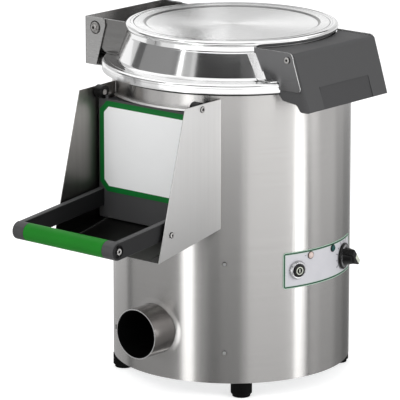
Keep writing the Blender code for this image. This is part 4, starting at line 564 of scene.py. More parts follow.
WHITE_LENS = moulded("white_lens", (0.78, 0.62, 0.57), (0.1, 0.2), 300.0, 0.01, Coat_Weight=0.6)
GREEN_LENS = moulded("green_lens", (0.004, 0.07, 0.065), (0.1, 0.2), 300.0, 0.01, gleam=0.3)
GRIT = gritted()
PANEL_PRINT = framed_print()


# Drum, drain and feet

def side_tool(place, radius, reach=30):
    """A round rod through the drum's wall."""
    return moved(rod(radius, -reach, reach), facing_out(place, DRUM_R))


def opening_tool():
    return brick((-OPENING_HALF_W, -DRUM_R - 20, OPENING_LOW), (OPENING_HALF_W, -DRUM_R / 2, OPENING_HIGH))


def panel_holes():
    """The holes for the controls, in the wall and in the film."""
    return joined(*[side_tool(place, radius) for place, radius in
                    ((KNOB, 3.3), (BUTTON, 11.3), (WHITE_LAMP, 4.8), (GREEN_LAMP, 4.8))])


def make_drum():
    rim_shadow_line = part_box("lid_shell")[0].z / MM - RIM_SHADOW_DROP
    wall_in, under = DRUM_R - SHEET, DRUM_H - SHEET
    outline = [(wall_in, 0.0), (DRUM_R - 0.4, 0.0), (DRUM_R, 0.4), (DRUM_R, rim_shadow_line),
               *arc((wall_in, under), SHEET, 0, 90, 4), (BRIM_R, DRUM_H), (BRIM_R, under), (wall_in, under)]
    wall = cut(spun(outline, DRUM_STEPS), opening_tool())
    holes = joined(side_tool(DRAIN, DRAIN_R + SEAT), side_tool(INLET, INLET_HOLE_R), side_tool(GLAND, GLAND_HOLE_R),
                   panel_holes())
    # Painted shadow: the band of wall just under the lid's rim takes the near-black steel.
    wall = painted(cut(wall, holes), lambda spot, normal: 1 if spot.z > rim_shadow_line + 0.1 else 0)
    piece("drum_wall", wall, [DRUM_STEEL, PAINTED_SHADE_STEEL], "brushed_steel", "body_shell")
    low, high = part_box("abrasive_liner")
    lining = tube(LINING_R, LINING_OUT_R, low.z / MM, high.z / MM, 144)
    lining = cut(cut(lining, opening_tool()), side_tool(INLET, INLET_HOLE_R))
    piece("drum_lining", lining, GRIT, "abrasive", "abrasive_liner")
    foot = OPENING_HIGH + SEAT
    lip = spun([(ON_DRUM_R, foot), (LIP_R, foot), (LIP_R, foot + 0.2), (LIP_R - 1.5, foot + 2.6),
                (LIP_R - 1.9, foot + 2.8), (ON_DRUM_R, foot + 2.8)], DRUM_STEPS)
    span = brick((-OPENING_HALF_W, -DRUM_R - 20, OPENING_HIGH - 10), (OPENING_HALF_W, 0, OPENING_HIGH + 10))
    lip = cut(lip, span, "INTERSECT")
    piece("opening_drip_lip", lip, LIP_HIGHLIGHT_STEEL, "polished_steel", "opening_lip")


def make_rivets():
    """Domed rivet heads on the drum, over the ones of the base plate and the sump."""
    outline = [(0, 0.0), (0, 1.9), (1.6, 1.75), (2.8, 1.3), (3.5, 0.5), (3.6, 0.0)]
    for number, angle in enumerate(RIVET_ANGLES):
        for level, height in (("low", 47.4), ("high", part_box("sump_pan")[0].z / MM + 13)):
            # Painted shade: the foot of each dome takes the near-black steel.
            dome = painted(spun(outline, 28), lambda spot, normal: 1 if spot.z < 0.9 else 0)
            dome = moved(dome, facing_out((radians(angle), height), DRUM_R))
            piece(f"{level}_rivet_dome_{number}", dome, SCREW_PAIR, "screw_steel")


def make_feet():
    foot = [(0, FLOOR_Z), (11.8, FLOOR_Z), *arc((12.5, FLOOR_Z + 1), 1, -90, 0, 3), (13.5, FLOOR_Z + 4),
            (14.2, FLOOR_Z + 4.6), *arc((14.8, FLOOR_Z + 5.8), 1.2, -60, 0, 3), (16, -1.3), (15.2, -SEAT), (4, -SEAT),
            (4, 12), (0, 12)]
    reach = DRUM_R + 1 - 16
    for name, angle in (("front_left", -45), ("front_right", 45), ("rear_right", 135), ("rear_left", 225)):
        spot = Matrix.Translation(Vector((sin(radians(angle)), -cos(radians(angle)), 0)) * reach * MM)
        piece("rubber_foot_" + name, moved(spun(foot, 64), spot), RUBBER, "black_rubber", "foot_" + name)


def make_drain():
    """The outlet pipe and its bend under the sump, with a painted highlight on the end of its mouth and painted shade
    in its bore.
    """
    bend_y, bend_z = 157, 118
    pipe = bmesh.new()
    for radius in (DRAIN_R, DRAIN_IN_R):
        bmesh.ops.create_circle(pipe, segments=96, radius=radius * MM)
    bmesh.ops.bridge_loops(pipe, edges=pipe.edges[:])
    moved(pipe, Matrix.Translation((0, -DRAIN_REACH * MM, DRAIN[1] * MM)) @ Matrix.Rotation(pi / 2, 4, "X"))
    front = pulled(pipe, pipe.faces[:], (0, (DRAIN_REACH - bend_y) * MM, 0))
    bend = bmesh.ops.spin(pipe, geom=front, cent=Vector((0, -bend_y, bend_z)) * MM, axis=(1, 0, 0), angle=pi / 2,
                          steps=24)
    pulled(pipe, bend["geom_last"], (0, 0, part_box("drain_pipe")[1].z - bend_z * MM))
    middle = (DRAIN_R + DRAIN_IN_R) / 2

    # Painted highlight on the mouth's end, and painted shade inside the pipe and over its bend.
    def finish(spot, normal):
        if spot.y < 0.1 - DRAIN_REACH:
            return 2
        outside = hypot(spot.x, spot.z - DRAIN[1]) >= middle
        return 0 if outside and spot.y < -bend_y else 1
    piece("drain_outlet_pipe", painted(tidied(pipe), finish), [PIPE_STEEL, BORE_SHADE_STEEL, HIGHLIGHT_STEEL],
          "brushed_steel", "drain_pipe")


# Chute, its screws and the door

def chute_floor(y):
    return CHUTE_FRONT[1] + (y - CHUTE_FRONT[0]) * tan(CHUTE_SLOPE)


def on_pivot_axis(shape, side=1, x=0, place=GRIP_AXIS):
    """Turn a shape's Z to the left or right, at a place given as (y, z)."""
    return moved(shape, aimed((side, 0, 0), (x, *place)))


def make_chute():
    back = -120.0
    front_y, front_z = CHUTE_FRONT
    top = OPENING_HIGH + 21
    cheek = [(front_y, front_z - SHEET), (back, chute_floor(back) - SHEET), (back, top), (-228, top - 3)]
    plates = []
    for name, side in SIDES:
        plate = eased(slab(cheek, "X", *ordered(side, CHEEK_X - SHEET, CHEEK_X)), 0.5, 2)
        screws = joined(*[on_pivot_axis(rod(radius, -120, 120, 32), place=place)
                          for radius, place in ((4.3, PIVOT), (2.3, GLIDE))])
        plates.append(cut(cut(plate, rod(ON_DRUM_R, 200, 450, DRUM_STEPS)), screws))
    half = CHEEK_X - SHEET + 0.2
    tray = [(front_y, front_z - SHEET), (back, chute_floor(back) - SHEET), (back, chute_floor(back)),
            (front_y, front_z)]
    tray = cut(eased(slab(tray, "X", -half, half), 0.5, 2), rod(ON_DRUM_R, 180, 450, DRUM_STEPS))
    fold_y = -182
    fold = [(front_y + 2, front_z + 0.2), (fold_y, chute_floor(fold_y) + 0.2), (fold_y, chute_floor(fold_y) + 3.2),
            (front_y + 6, front_z + 1.4)]
    folds = [slab(fold, "X", *ordered(side, half - 20, half - 19.2)) for name, side in SIDES]

    # Painted shade on the cheeks' inward faces and the tray's top.
    def finish(spot, normal):
        inward = normal.x * spot.x < -20 and abs(spot.x) > half - 1
        return 1 if inward or (abs(spot.x) < half + 0.1 and normal.z > 0.3) else 0
    sheet = painted(joined(*plates, tray, *folds), finish)
    piece("chute_sheet", sheet, [CHEEK_STEEL, SHADED_STEEL], "brushed_steel", "discharge_chute", smooth=40)


def socket_head(shank_r, shank_l, head_r, head_h, socket_r):
    """Outline of a domed screw with a socket, its seat at height 0."""
    top = SEAT + head_h
    return [(0, -shank_l), (shank_r, -shank_l), (shank_r, SEAT), (head_r, SEAT), (head_r, SEAT + head_h * 0.35),
            (head_r * 0.93, SEAT + head_h * 0.65), (head_r * 0.75, top), (socket_r + 0.2, top), (socket_r, top - 0.2),
            (socket_r, SEAT + head_h * 0.35), (0, SEAT + head_h * 0.3)]


def dark_drive(screw, head_r, socket_r):
    """Numbers a screw's socket and the rim of its head as the second finish, a painted shade."""
    def finish(spot, normal):
        return 1 if spot.z > 0.1 and not socket_r < spot.xy.length < head_r * 0.93 else 0
    return painted(screw, finish)


def make_chute_screws():
    glide_outline = [(0, -4.4), (6, -4.4), (6, -1.8), (2, -1.8), (2, SEAT), (4.5, SEAT), (4.5, 1.0), (3.7, 1.6),
                     (1.7, 1.8), (1.6, 1.0), (0, 1.0)]
    for name, side in SIDES:
        # Each screw head gets a painted shade in its socket and round its rim.
        for label, node_name, shape, place in (
                ("glide_screw_", "door_glide_", dark_drive(spun(glide_outline, 40), 3.5, 1.1), GLIDE),
                ("pivot_screw_head_", "door_pivot_screw_",
                 dark_drive(spun(socket_head(4, 17, 4.8, 1.6, 2.2), 48), 4.8, 2.2), PIVOT)):
            piece(label + name, on_pivot_axis(shape, side, side * CHEEK_X, place), SCREW_PAIR, "screw_steel",
                  node_name + name)
        bush = eased(spun([(9.75, -14), (9.75, 0), (4.1, 0), (4.1, -14)], 64), 0.6)
        piece("pivot_bush_ring_" + name, on_pivot_axis(bush, side, side * BUSH_X, PIVOT), BLACK, "black_plastic",
              "door_pivot_bush_" + name, body="door")


def bush_rooms(radius):
    """The space round both pivot bushes."""
    return joined(*[on_pivot_axis(rod(radius, -16, 8, 64), side, side * BUSH_X, PIVOT) for name, side in SIDES])


def make_door():
    high = OPENING_HIGH + 7
    lug = BUSH_X - 14.3 - 6
    top = [(OPENING_HALF_W, high), (lug, high), (lug, high - 5.5)]
    front = [(-OPENING_HALF_W, PANEL_LOW), (OPENING_HALF_W, PANEL_LOW), *top, *[(-x, z) for x, z in reversed(top)]]
    panel = eased(slab(front, "Y", PANEL_Y, PANEL_Y + 3.5), 0.8)
    plug_half, steps = 95.5, 24
    across = [-plug_half + 2 * plug_half * i / steps for i in range(steps + 1)]
    plug = [(x, -sqrt(LINING_R ** 2 - x * x)) for x in across]
    plug += [(plug_half, PANEL_Y + 2), (-plug_half, PANEL_Y + 2)]
    plug = eased(slab(plug, "Z", OPENING_LOW + 6, OPENING_HIGH - 2), 1.2, 2)
    root = PANEL_Y + 1.75
    side = [(root, PANEL_LOW + 18), (root, PANEL_LOW + 45), *arc(GRIP_AXIS, GRIP_R, 80, 275, 28)]
    arm = eased(slab(side, "X", ARM_X - ARM_T, ARM_X), 1.5, 4)
    corner = spun([(0, 76.3), (GRIP_R - 0.4, 76.3), (GRIP_R, 76.8), *arc((GRIP_R - 3.5, ARM_X - 3.5), 3.5, 0, 90, 6),
                   (0, ARM_X)], 64)
    corner = on_pivot_axis(corner)
    rooms = bush_rooms(10.05)
    panel = cut(panel, rooms.copy())
    door = joined(panel, cut(plug, rooms), mirrored(arm), arm, mirrored(corner), corner)

    # Painted shade on the arms' sides, and painted light on their tops, which take the lighter grey.
    def finish(spot, normal):
        if spot.y > PANEL_Y - 2:
            return 0
        return 1 if abs(normal.x) > 0.9 else 2 if normal.z > 0.6 else 0
    piece("door_moulding", painted(door, finish), [DARK_GREY, ARM_SHADE_GREY, GREY], "grey_plastic", "discharge_door",
          body="door", smooth=40)
    hold = [(4.3, -76), (GRIP_R - 0.5, -76), (GRIP_R, -75.5), (GRIP_R, 75.5), (GRIP_R - 0.5, 76), (4.3, 76)]
    piece("green_grip_sleeve", on_pivot_axis(spun(hold, 64)), GREEN, "green_plastic", "handle_grip", body="door")
    end = ARM_X + SEAT
    head = [(4, end), (4.7, end), (4.7, end + 1.2), (4.4, end + 1.5), (2.3, end + 1.5), (2.1, end + 1.3),
            (2.1, end - 3), (0, end - 3)]
    bar = spun([(radius, -x) for radius, x in reversed(head)] + head, 48)
    piece("grip_rod", on_pivot_axis(bar), SCREW_STEEL, "screw_steel", "handle_rod", body="door")


def make_door_label():
    """The door's film: a green border round a bare white field."""
    half, low, high, corner = OPENING_HALF_W - 3, PANEL_LOW + 41, OPENING_HIGH - 1, 14.0
    outline = [(-half + corner, low), (half - corner, low), (half, low + corner), (half, high - corner),
               (half - corner, high), (-half + corner, high), (-half, high - corner), (-half, low + corner)]
    film = slab(outline, "Y", PANEL_Y - 0.9, PANEL_Y - SEAT)
    front = min(film.faces, key=lambda face: face.calc_center_median().y)
    bmesh.ops.inset_region(film, faces=[front], thickness=8.3 * MM, use_even_offset=True)
    front.material_index = 1
    piece("door_film", cut(film, bush_rooms(10.4)), [LABEL_GREEN, LABEL_WHITE], "label_film", "door_label",
          body="door")


# Lid, hinge and lid handle

def lid_top():
    """The lid's outer side from the rim's foot to the disc."""
    rim = [(RIM_R - 1.2, LID_Z), *arc((RIM_R - 1, LID_Z + 1), 1, -60, 0, 3), (RIM_R, 448.6), (RIM_R - 0.7, 449.1),
           (RIM_R - 0.7, 449.9), (RIM_R, 450.4), *arc((RIM_R - 5, 450.6), 5, 5, 90, 10)]
    ledge = [(185.0, LEDGE_Z), (184.4, 455.2), (183.8, LEDGE_Z), (CONE_FOOT_R + 4.5, LEDGE_Z),
             (CONE_FOOT_R + 1.7, 456.4), (CONE_FOOT_R - 0.3, 458.6), (CONE_FOOT_R - 0.65, 459.5)]
    neck = [(CONE_TOP[0] + 0.4, CONE_TOP[1] - 1), CONE_TOP, (156.3, 495.4), (156.0, 496.8), (156.0, 502.6)]
    bead = arc(BEAD[:2], BEAD[2], -50, 90, 18)
    dish = [(152.6, 512.0), (151.6, 511.3), (150.6, 511.6), (148.6, 511.6), (147.6, 510.9), (146.4, 510.9),
            (145.6, 511.5), (132.6, 511.4), (131.4, 511.0), (130.2, 510.0), (128.8, 509.4), (DISC_R, 509.7)]
    return rim + ledge + neck + bead + dish


def make_lid():
    steps = 12
    disc = [(DISC_R * i / steps, 508.5 + 1.2 * (i / steps) ** 2) for i in range(steps - 1, -1, -1)]
    under = [(0, 506.8), (154.5, 508.2), (154.5, CONE_TOP[1]), (CONE_FOOT_R - 1.5, 454.1), (RIM_R - SHEET, 454.1),
             (RIM_R - SHEET, LID_Z)]

    def finish(spot, normal):
        radius = spot.xy.length
        if spot.z < 508.4:
            return 0
        # Painted shade in the two grooves.
        if 128.2 < radius < 132.5 or 146.3 < radius < 147.8:
            return 2
        return 1 if radius < 145 else 0
    dish = painted(spun((lid_top() + disc)[::-1] + under[::-1], DRUM_STEPS), finish)
    piece("lid_dish", dish, [LID_STEEL, DISC_STEEL, GROOVE_SHADE_STEEL], "polished_steel", "lid_shell", body="lid",
          smooth=50)
    low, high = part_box("lid_gasket")
    seal = eased(tube(174, 186, low.z / MM, high.z / MM, 144), 1.2)
    piece("lid_seal", seal, RUBBER, "black_rubber", "lid_gasket", body="lid")


def lid_tool(gap):
    """The space that the lid fills, a little larger."""
    bead_r = sum(BEAD[::2])
    return spun([(0, LID_Z - gap), (RIM_R + gap, LID_Z - gap), (RIM_R + gap, LEDGE_Z + gap),
                 (CONE_FOOT_R + 3 + gap, LEDGE_Z + gap), (CONE_FOOT_R + gap, LEDGE_Z + 3 + gap),
                 (CONE_TOP[0] + gap, CONE_TOP[1]), (CONE_TOP[0] + gap, BEAD[1] - 5 - gap), (bead_r + gap, BEAD[1]),
                 (bead_r + gap, 530), (0, 530)], 144)


def weld_flange(side, hand, y):
    """The strip of an ear that is bent over and welded to the lid's cone and ledge."""
    def above_lid(out, up):
        return [(RIM_R - 3, LEDGE_Z + up), (CONE_FOOT_R + 3 + EAR_PLATE_GAP, LEDGE_Z + up),
                (CONE_FOOT_R + out, LEDGE_Z + 3 + EAR_PLATE_GAP), (CONE_TOP[0] + out, CONE_TOP[1])]
    high = EAR_PLATE_GAP + SHEET
    strip = spun(above_lid(EAR_PLATE_GAP, EAR_PLATE_GAP) + above_lid(high, high)[::-1], 144)
    low_x, high_x = ordered(side, 90, RIM_R)
    low_y, high_y = ordered(hand, y, y + 10)
    return cut(strip, brick((low_x, low_y, LEDGE_Z - 2), (high_x, high_y, CONE_TOP[1] + 0.3)), "INTERSECT")


def rod_tool(radius, spot, low, high):
    """A rod along Y through a spot given as (x, z)."""
    along = Matrix.Translation((spot[0] * MM, 0, spot[1] * MM)) @ Matrix.Rotation(-pi / 2, 4, "X")
    return moved(rod(radius, *sorted((low, high))), along)


def ear_plate(outline, hand, y):
    """A flat ear that stands on the lid, its inner face at a distance y from the middle."""
    return cut(eased(slab(outline, "Y", *ordered(hand, y, y + SHEET)), 0.45, 2), lid_tool(EAR_PLATE_GAP))


def make_ears():
    handle_y, hinge_y = COVER_HALF_W + SEAT, BRACKET_HALF_L - SHEET - 1 - SHEET
    cone_x = sqrt(CONE_FOOT_R ** 2 - handle_y ** 2)
    front_x, foot_x = RIM_R - 0.7, RIM_R + 13.5
    foot_z, top_z = LID_Z + 5, LID_Z + 61.4
    lean = degrees(atan((foot_x - front_x) / (top_z - 7 - foot_z)))
    side = [(78, foot_z), *arc((foot_x - 5, foot_z + 5), 5, -90, lean, 8), (front_x + 1.2, top_z - 12),
            *arc((front_x - 8.5, top_z - 9), 9, lean, 84, 8), (RIM_R - 18, top_z), (78, top_z)]
    eye = [*arc(HINGE, 15, 90, 230, 20), (-RIM_R + 18, LEDGE_Z), (-85, LEDGE_Z), (-85, HINGE[1] + 15)]

    def hole(radius, spot, hand, y):
        return rod_tool(radius, spot, hand * (y - 5), hand * (y + 5))
    for end, hand in ENDS:
        plate = cut(ear_plate(side, hand, handle_y), hole(11, (cone_x + 1.5, LEDGE_Z + 3), hand, handle_y))
        plate = cut(plate, hole(2.8, COVER_SCREW, hand, handle_y))
        # Painted highlight on all but the plate's outer face.
        plate = painted(plate, lambda spot, normal: 0 if normal.y * hand > 0.9 else 1)
        piece("handle_side_plate_" + end, plate, [EAR_STEEL, HIGHLIGHT_STEEL], "brushed_steel", "handle_ear_" + end,
              body="lid")
        # The polished weld strip takes the painted highlight steel all over.
        strip = weld_flange(1, hand, handle_y)
        piece("handle_weld_strip_" + end, strip, HIGHLIGHT_STEEL, "polished_steel", body="lid")
        plate = cut(ear_plate(eye, hand, hinge_y), hole(4.1, HINGE, hand, hinge_y))
        plate = joined(plate, weld_flange(-1, hand, hinge_y))
        # Painted highlight on the plate's edges above the lid.
        plate = painted(plate, lambda spot, normal: 0 if abs(normal.y) > 0.9 or spot.z < 500 else 1)
        piece("hinge_side_plate_" + end, plate, [SHADED_BRACKET_STEEL, HIGHLIGHT_STEEL], "brushed_steel", "hinge_ear_" + end,
              body="lid")


def make_cover():
    """The lid handle's hollow moulding with its stepped lower edge and finger recess."""
    ridge, nose = RIM_R + 1.7, RIM_R + 27.7
    slope = (nose - ridge) / (COVER_TOP - COVER_FOOT)
    lean = degrees(atan(slope))
    shoulder = LID_Z - 13.1
    side = [(80, COVER_TOP), *arc((ridge - 7, COVER_TOP - 7), 7, 90, lean, 10),
            *arc((nose - 1.6, COVER_FOOT + 1.6), 1.6, lean, -90, 4),
            *arc((nose - 12, COVER_FOOT + 6), 6, 270, 200, 6), *arc((nose - 26, shoulder - 7), 7, 40, 90, 6),
            (nose - 40, shoulder + 1.5), *arc((nose - 44, LID_Z - 4), 7, 285, 210, 5), (nose - 56, LID_Z),
            (80, LID_Z)]
    body = slab(side, "Y", -COVER_HALF_W, COVER_HALF_W)
    foot, top = COVER_FOOT - 10, COVER_TOP - COVER_T
    lean_back = Matrix.Identity(4)
    lean_back[0][2] = -slope
    lean_back[0][3] = slope * COVER_FOOT * MM
    plan = [(60, -COVER_HALF_W), *arc((nose - 5.4, -COVER_HALF_W + 6), 6, -90, 0, 8),
            *arc((nose - 5.4, COVER_HALF_W - 6), 6, 0, 90, 8), (60, COVER_HALF_W)]
    body = cut(body, moved(slab(plan, "Z", foot, COVER_TOP + 5), lean_back), "INTERSECT")
    front = [(-COVER_HALF_W, foot), (COVER_HALF_W, foot), *arc((COVER_HALF_W - 4, COVER_TOP - 4), 4, 0, 90, 6),
             *arc((-COVER_HALF_W + 4, COVER_TOP - 4), 4, 90, 180, 6)]
    body = cut(body, slab(front, "X", 50, nose + 10), "INTERSECT")
    wall = COVER_T * sqrt(1 + slope * slope)
    inside = COVER_HALF_W - COVER_T
    hollow = [(0, foot), (nose - wall + 10 * slope, foot), (nose - wall - (top - COVER_FOOT) * slope, top), (0, top)]
    arch = slab([(y * 0.974, z - COVER_T) for y, z in front], "X", -10, nose + 10)
    body = cut(body, cut(slab(hollow, "Y", -inside, inside), arch, "INTERSECT"))
    body = cut(body, lid_tool(0.8))
    face, high, recess_half = nose - 1.0, COVER_FOOT + 32, 58
    recess = [(face + 10 * slope, foot), (nose + 20, foot), (nose + 20, high), (face - 32 * slope, high)]
    body = cut(body, slab(recess, "Y", -recess_half, recess_half))
    body = cut(body, slab([(x - 1.0, z) for x, z in recess], "Y", -recess_half, 1.3 - recess_half))
    body = cut(body, rod_tool(2.8, COVER_SCREW, -100, 100))

    # Painted shade on the floor of the finger recess.
    def finish(spot, normal):
        depth = nose - (spot.z - COVER_FOOT) * slope - spot.x
        in_recess = abs(spot.y) < recess_half - 0.1 and 0.5 < depth < 2.4 and spot.z < high
        return 1 if in_recess and normal.x > 0.5 else 0
    piece("lid_handle_moulding", painted(body, finish), [GREY, RECESS_SHADE_GREY], "grey_plastic", "lid_handle_cover",
          body="lid", smooth=40)
    for end, hand in ENDS:
        # The screw head gets a painted shade in its socket and round its rim.
        screw = dark_drive(spun(socket_head(2.5, 10, 5, 2, 2.0), 48), 5, 2.0)
        place = aimed((0, hand, 0), (COVER_SCREW[0], hand * (COVER_HALF_W + SEAT + SHEET), COVER_SCREW[1]))
        piece("handle_screw_" + end, moved(screw, place), SCREW_PAIR, "screw_steel", "cover_screw_" + end,
              body="lid")


def make_bracket():
    x, half, hole_r = -214.0, BRACKET_HALF_L, 4.3
    top, foot = HINGE[1] + 15.5, LID_Z - 5.6 - SHEET
    wall = eased(brick((x, -half, foot), (x + SHEET, half, top)), 0.5, 2)
    shelf = brick((x + 0.7, -half + 0.7, foot), (-90, half - 0.7, foot + SHEET))
    shelf = cut(shelf, rod(ON_DRUM_R, 400, 460, DRUM_STEPS))
    end = [(x, foot), (x, top), (x + 37, top), *arc((x + 36, top - 3), 3, 90, 0, 4), (x + 40, top - 10),
           (x + 21.5, foot)]
    bolt = [(0, -9.5), (6.4, -9.5), (7, -8.9), (7, -4.5), (4, -4.5), (4, SEAT), (7.7, SEAT), (8, 0.6), (8, 1.5),
            (7.7, 1.8), (5, 1.8), (5, 3.6), (4.4, 4.6), (3.4, 4.8), (2.2, 4.8), (2, 4.5), (2, 3.3), (0, 3.3)]
    plates, bolts = [], []
    for end_name, hand in ENDS:
        at_bolt = aimed((0, hand, 0), (HINGE[0], hand * half, HINGE[1]))
        plate = eased(slab(end, "Y", *ordered(hand, half - SHEET, half)), 0.5, 2)
        plate = cut(plate, moved(tube(8.6, 10.3, -0.9, 3, 64), at_bolt))
        plates.append(cut(plate, rod_tool(hole_r, HINGE, hand * 80, hand * 95)))
        # Painted shade in each bolt's socket.
        bolt_set = painted(spun(bolt, 48), lambda spot, normal: 1 if spot.z > 0.1 and spot.xy.length < 2.1 else 0)
        bolts.append((end_name, moved(bolt_set, at_bolt)))

    # Painted shade in the ring round each bolt, painted light on the end plates' outer faces, and the darker copy
    # elsewhere.
    def finish(spot, normal):
        if half - 1 < abs(spot.y) < half - 0.1 and hypot(spot.x - HINGE[0], spot.z - HINGE[1]) < 10.4:
            return 2
        return 1 if normal.y * spot.y > 80 else 0
    piece("hinge_bracket_sheet", painted(joined(wall, shelf, *plates), finish),
          [SHADED_BRACKET_STEEL, LIT_PLATE_STEEL, PAINTED_SHADE_STEEL], "brushed_steel", "hinge_bracket", smooth=40)
    for end_name, bolt_set in bolts:
        piece("hinge_bolt_set_" + end_name, bolt_set, SCREW_PAIR, "screw_steel", "hinge_bolt_" + end_name)


# Control panel

def make_panel_film():
    """A thin film with rounded corners, bent round the drum."""
    wide, strips = LABEL_HALF[0], 60
    film = slab(rounded(*LABEL_HALF, LABEL_CORNER), "Z", 0, LABEL_T)
    for i in range(1, strips):
        bmesh.ops.bisect_plane(film, geom=film.verts[:] + film.edges[:] + film.faces[:], plane_no=(1, 0, 0),
                               plane_co=((-wide + 2 * wide * i / strips) * MM, 0, 0))
    flat = film.loops.layers.uv.new("flat")
    for face in film.faces:
        for loop in face.loops:
            loop[flat].uv = loop.vert.co.xy
    for vert in film.verts:
        angle = LABEL_ANGLE + vert.co.x / (wide * MM) * LABEL_SPREAD
        reach = ON_DRUM_R * MM + vert.co.z
        vert.co = (sin(angle) * reach, -cos(angle) * reach, LABEL_Z * MM + vert.co.y)
    piece("panel_film", cut(tidied(film), panel_holes()), PANEL_PRINT, "label_film", "control_label")


def numeral(text, size):
    """A printed numeral as a thin flat shape, centred on Z."""
    curve = bpy.data.curves.new("numeral", "FONT")
    curve.body = text
    curve.size = size * MM
    curve.extrude = 0.08 * MM
    curve.align_x = "CENTER"
    curve.align_y = "CENTER"
    writer = in_scene("numeral", curve)
    drawn = as_finished(writer)
    shape = bmesh.new()
    shape.from_mesh(drawn)
    bpy.data.objects.remove(writer)
    bpy.data.curves.remove(curve)
    bpy.data.meshes.remove(drawn)
    return tidied(shape)


def stroke(half_long, half_wide):
    return brick((-half_long, -half_wide, -0.05), (half_long, half_wide, 0.05))


def on_film(offset_x, offset_y, place, turn=0.0):
    """Where a mark goes on the bent film, given its offset from a place on the panel."""
    angle, height = place
    spot = (angle + offset_x / DRUM_R, height + offset_y)
    return facing_out(spot, ON_DRUM_R + LABEL_T + 0.1) @ Matrix.Rotation(turn, 4, "Z")


def make_dial_marks():
    tick_r, figure_r, ticks, figures = 22.6, 25.6, 11, 6
    marks = []
    for i in range(ticks):
        turn = radians(DIAL_START - 24 * i)
        marks.append(moved(stroke(1.5, 0.5), on_film(tick_r * cos(turn), tick_r * sin(turn), KNOB, turn)))
    for i in range(figures):
        turn = radians(DIAL_START - 48 * i)
        if abs(25.4 * sin(turn)) < 24:
            marks.append(moved(numeral(str(i), 3.6), on_film(figure_r * cos(turn), figure_r * sin(turn), KNOB)))
    marks.append(moved(stroke(1.4, 0.3), on_film(-10, 0.5, WHITE_LAMP)))
    piece("panel_marks", joined(*marks), DARK_INK, "label_film")


def make_button():
    at = facing_out(BUTTON, FACE_R)
    bezel = spun([(10, 0.0), (14.1, 0.0), (14.3, 0.4), (14.2, 1.4), (12.7, 4.3), (12.1, 4.9), (11.4, 5.0),
                  (10.3, 4.7), (10, 4.2)], 64)
    barrel = spun([(10, 0.1), (11, 0.1), (11, -18), (10, -18)], 48)
    piece("button_chrome_bezel", moved(joined(bezel, barrel), at), CHROME, "chrome_ring", "button_bezel")
    stem = [(0, -14.5), (9.3, -14.5), (9.3, -0.5), (9.7, 0.0), (9.7, 5.6), (9.3, 6.3), (8.6, 6.5), (0, 6.5)]
    piece("button_cap", moved(spun(stem, 64), at), BLACK, "black_plastic", "start_button", body="start_button")
    low, high = 6.52, 6.68
    mark = joined(tube(4.6, 5.9, low, high), brick((-0.7, -2.6, low), (0.7, 2.6, high)))
    piece("button_start_mark", moved(mark, at), WHITE_INK, "label_film", body="start_button")


def make_lamps():
    outline = [(0, -16), (4.5, -16), (4.5, 0), (5.7, 0), (5.7, 0.7), (5.4, 1.0), (5.0, 0.9), (4.8, 0.4), (4.6, 0.4),
               (4.6, 1.4), (4.1, 2.2), (2.9, 2.9), (1.4, 3.2), (0, 3.3)]
    for colour, place, lens in (("white", WHITE_LAMP, WHITE_LENS), ("green", GREEN_LAMP, GREEN_LENS)):
        # Painted shade: the flange round each lens takes the near-black steel, as a dark outline.
        dome = painted(spun(outline, 40), lambda spot, normal: 1 if spot.xy.length > 4.9 else 0)
        piece(colour + "_lamp_dome", moved(dome, facing_out(place, FACE_R)), [lens, PAINTED_SHADE_STEEL], colour + "_lens",
              colour + "_lamp")


def make_knob():
    """The timer's knob, its bar turned to an early setting, with a pale pointer along the bar's end."""
    skirt = spun([(0, -22), (3, -22), (3, 0), (19.6, 0), (20, 0.5), (20, 1.8), (19.3, 3.2), (17.8, 4), (14.2, 4.4),
                  (13.6, 5), (11, 15.5), (10.2, 16.7), (9.2, 17), (0, 17)], 72)
    at = facing_out(KNOB, FACE_R) @ Matrix.Rotation(KNOB_TURN, 4, "Z")
    bar = eased(slab(rounded(4.5, 17.0, 2.5), "Z", 2, 22), 1.2, 3, 60)
    knob = painted(joined(skirt, bar), lambda spot, normal: 1 if 3.8 < spot.z < 5.5 and normal.z > 0.9 else 0)
    piece("timer_knob_moulding", moved(knob, at), [BLACK, CHROME], "black_plastic", "timer_knob", body="timer_knob",
          smooth=40)
    pointer = eased(brick((-3.3, -15.8, 21.8), (3.3, 3.6, 22.25)), 0.15, 2)
    piece("knob_pointer", moved(pointer, at), WHITE_INK, "label_film", body="timer_knob")


# Rear fittings and what turns inside

def make_rear_fittings():
    inlet = [(8, -17.5), (13.2, -17.5), (13.2, SEAT), (18.4, SEAT), (19, 0.9), (19, 5.7), (18.4, 6.3), (13.2, 6.3)]
    for i in range(6):
        low = 8 + 2.8 * i
        inlet += [(12.2, low), (13.2, low + 0.7), (13.2, low + 1.3), (12.2, low + 2.0)]
    inlet += [(12.2, 25.2), (11.6, 26), (8, 26)]
    piece("inlet_spigot", moved(spun(inlet, 64), facing_out(INLET, DRUM_R)), SCREW_STEEL, "screw_steel",
          "water_inlet")
    gland = [(5.5, -11.5), (10, -11.5), (10, SEAT), (14, SEAT), (14, 6.3), (11.5, 6.3), (11.5, 13.3), (11.1, 15.5),
             (10, 18.5), (8.6, 20), (6.4, 20.3), (5.5, 19.8)]
    piece("cable_gland_nut", moved(spun(gland, 48), facing_out(GLAND, DRUM_R)), BLACK, "black_plastic",
          "cable_gland")


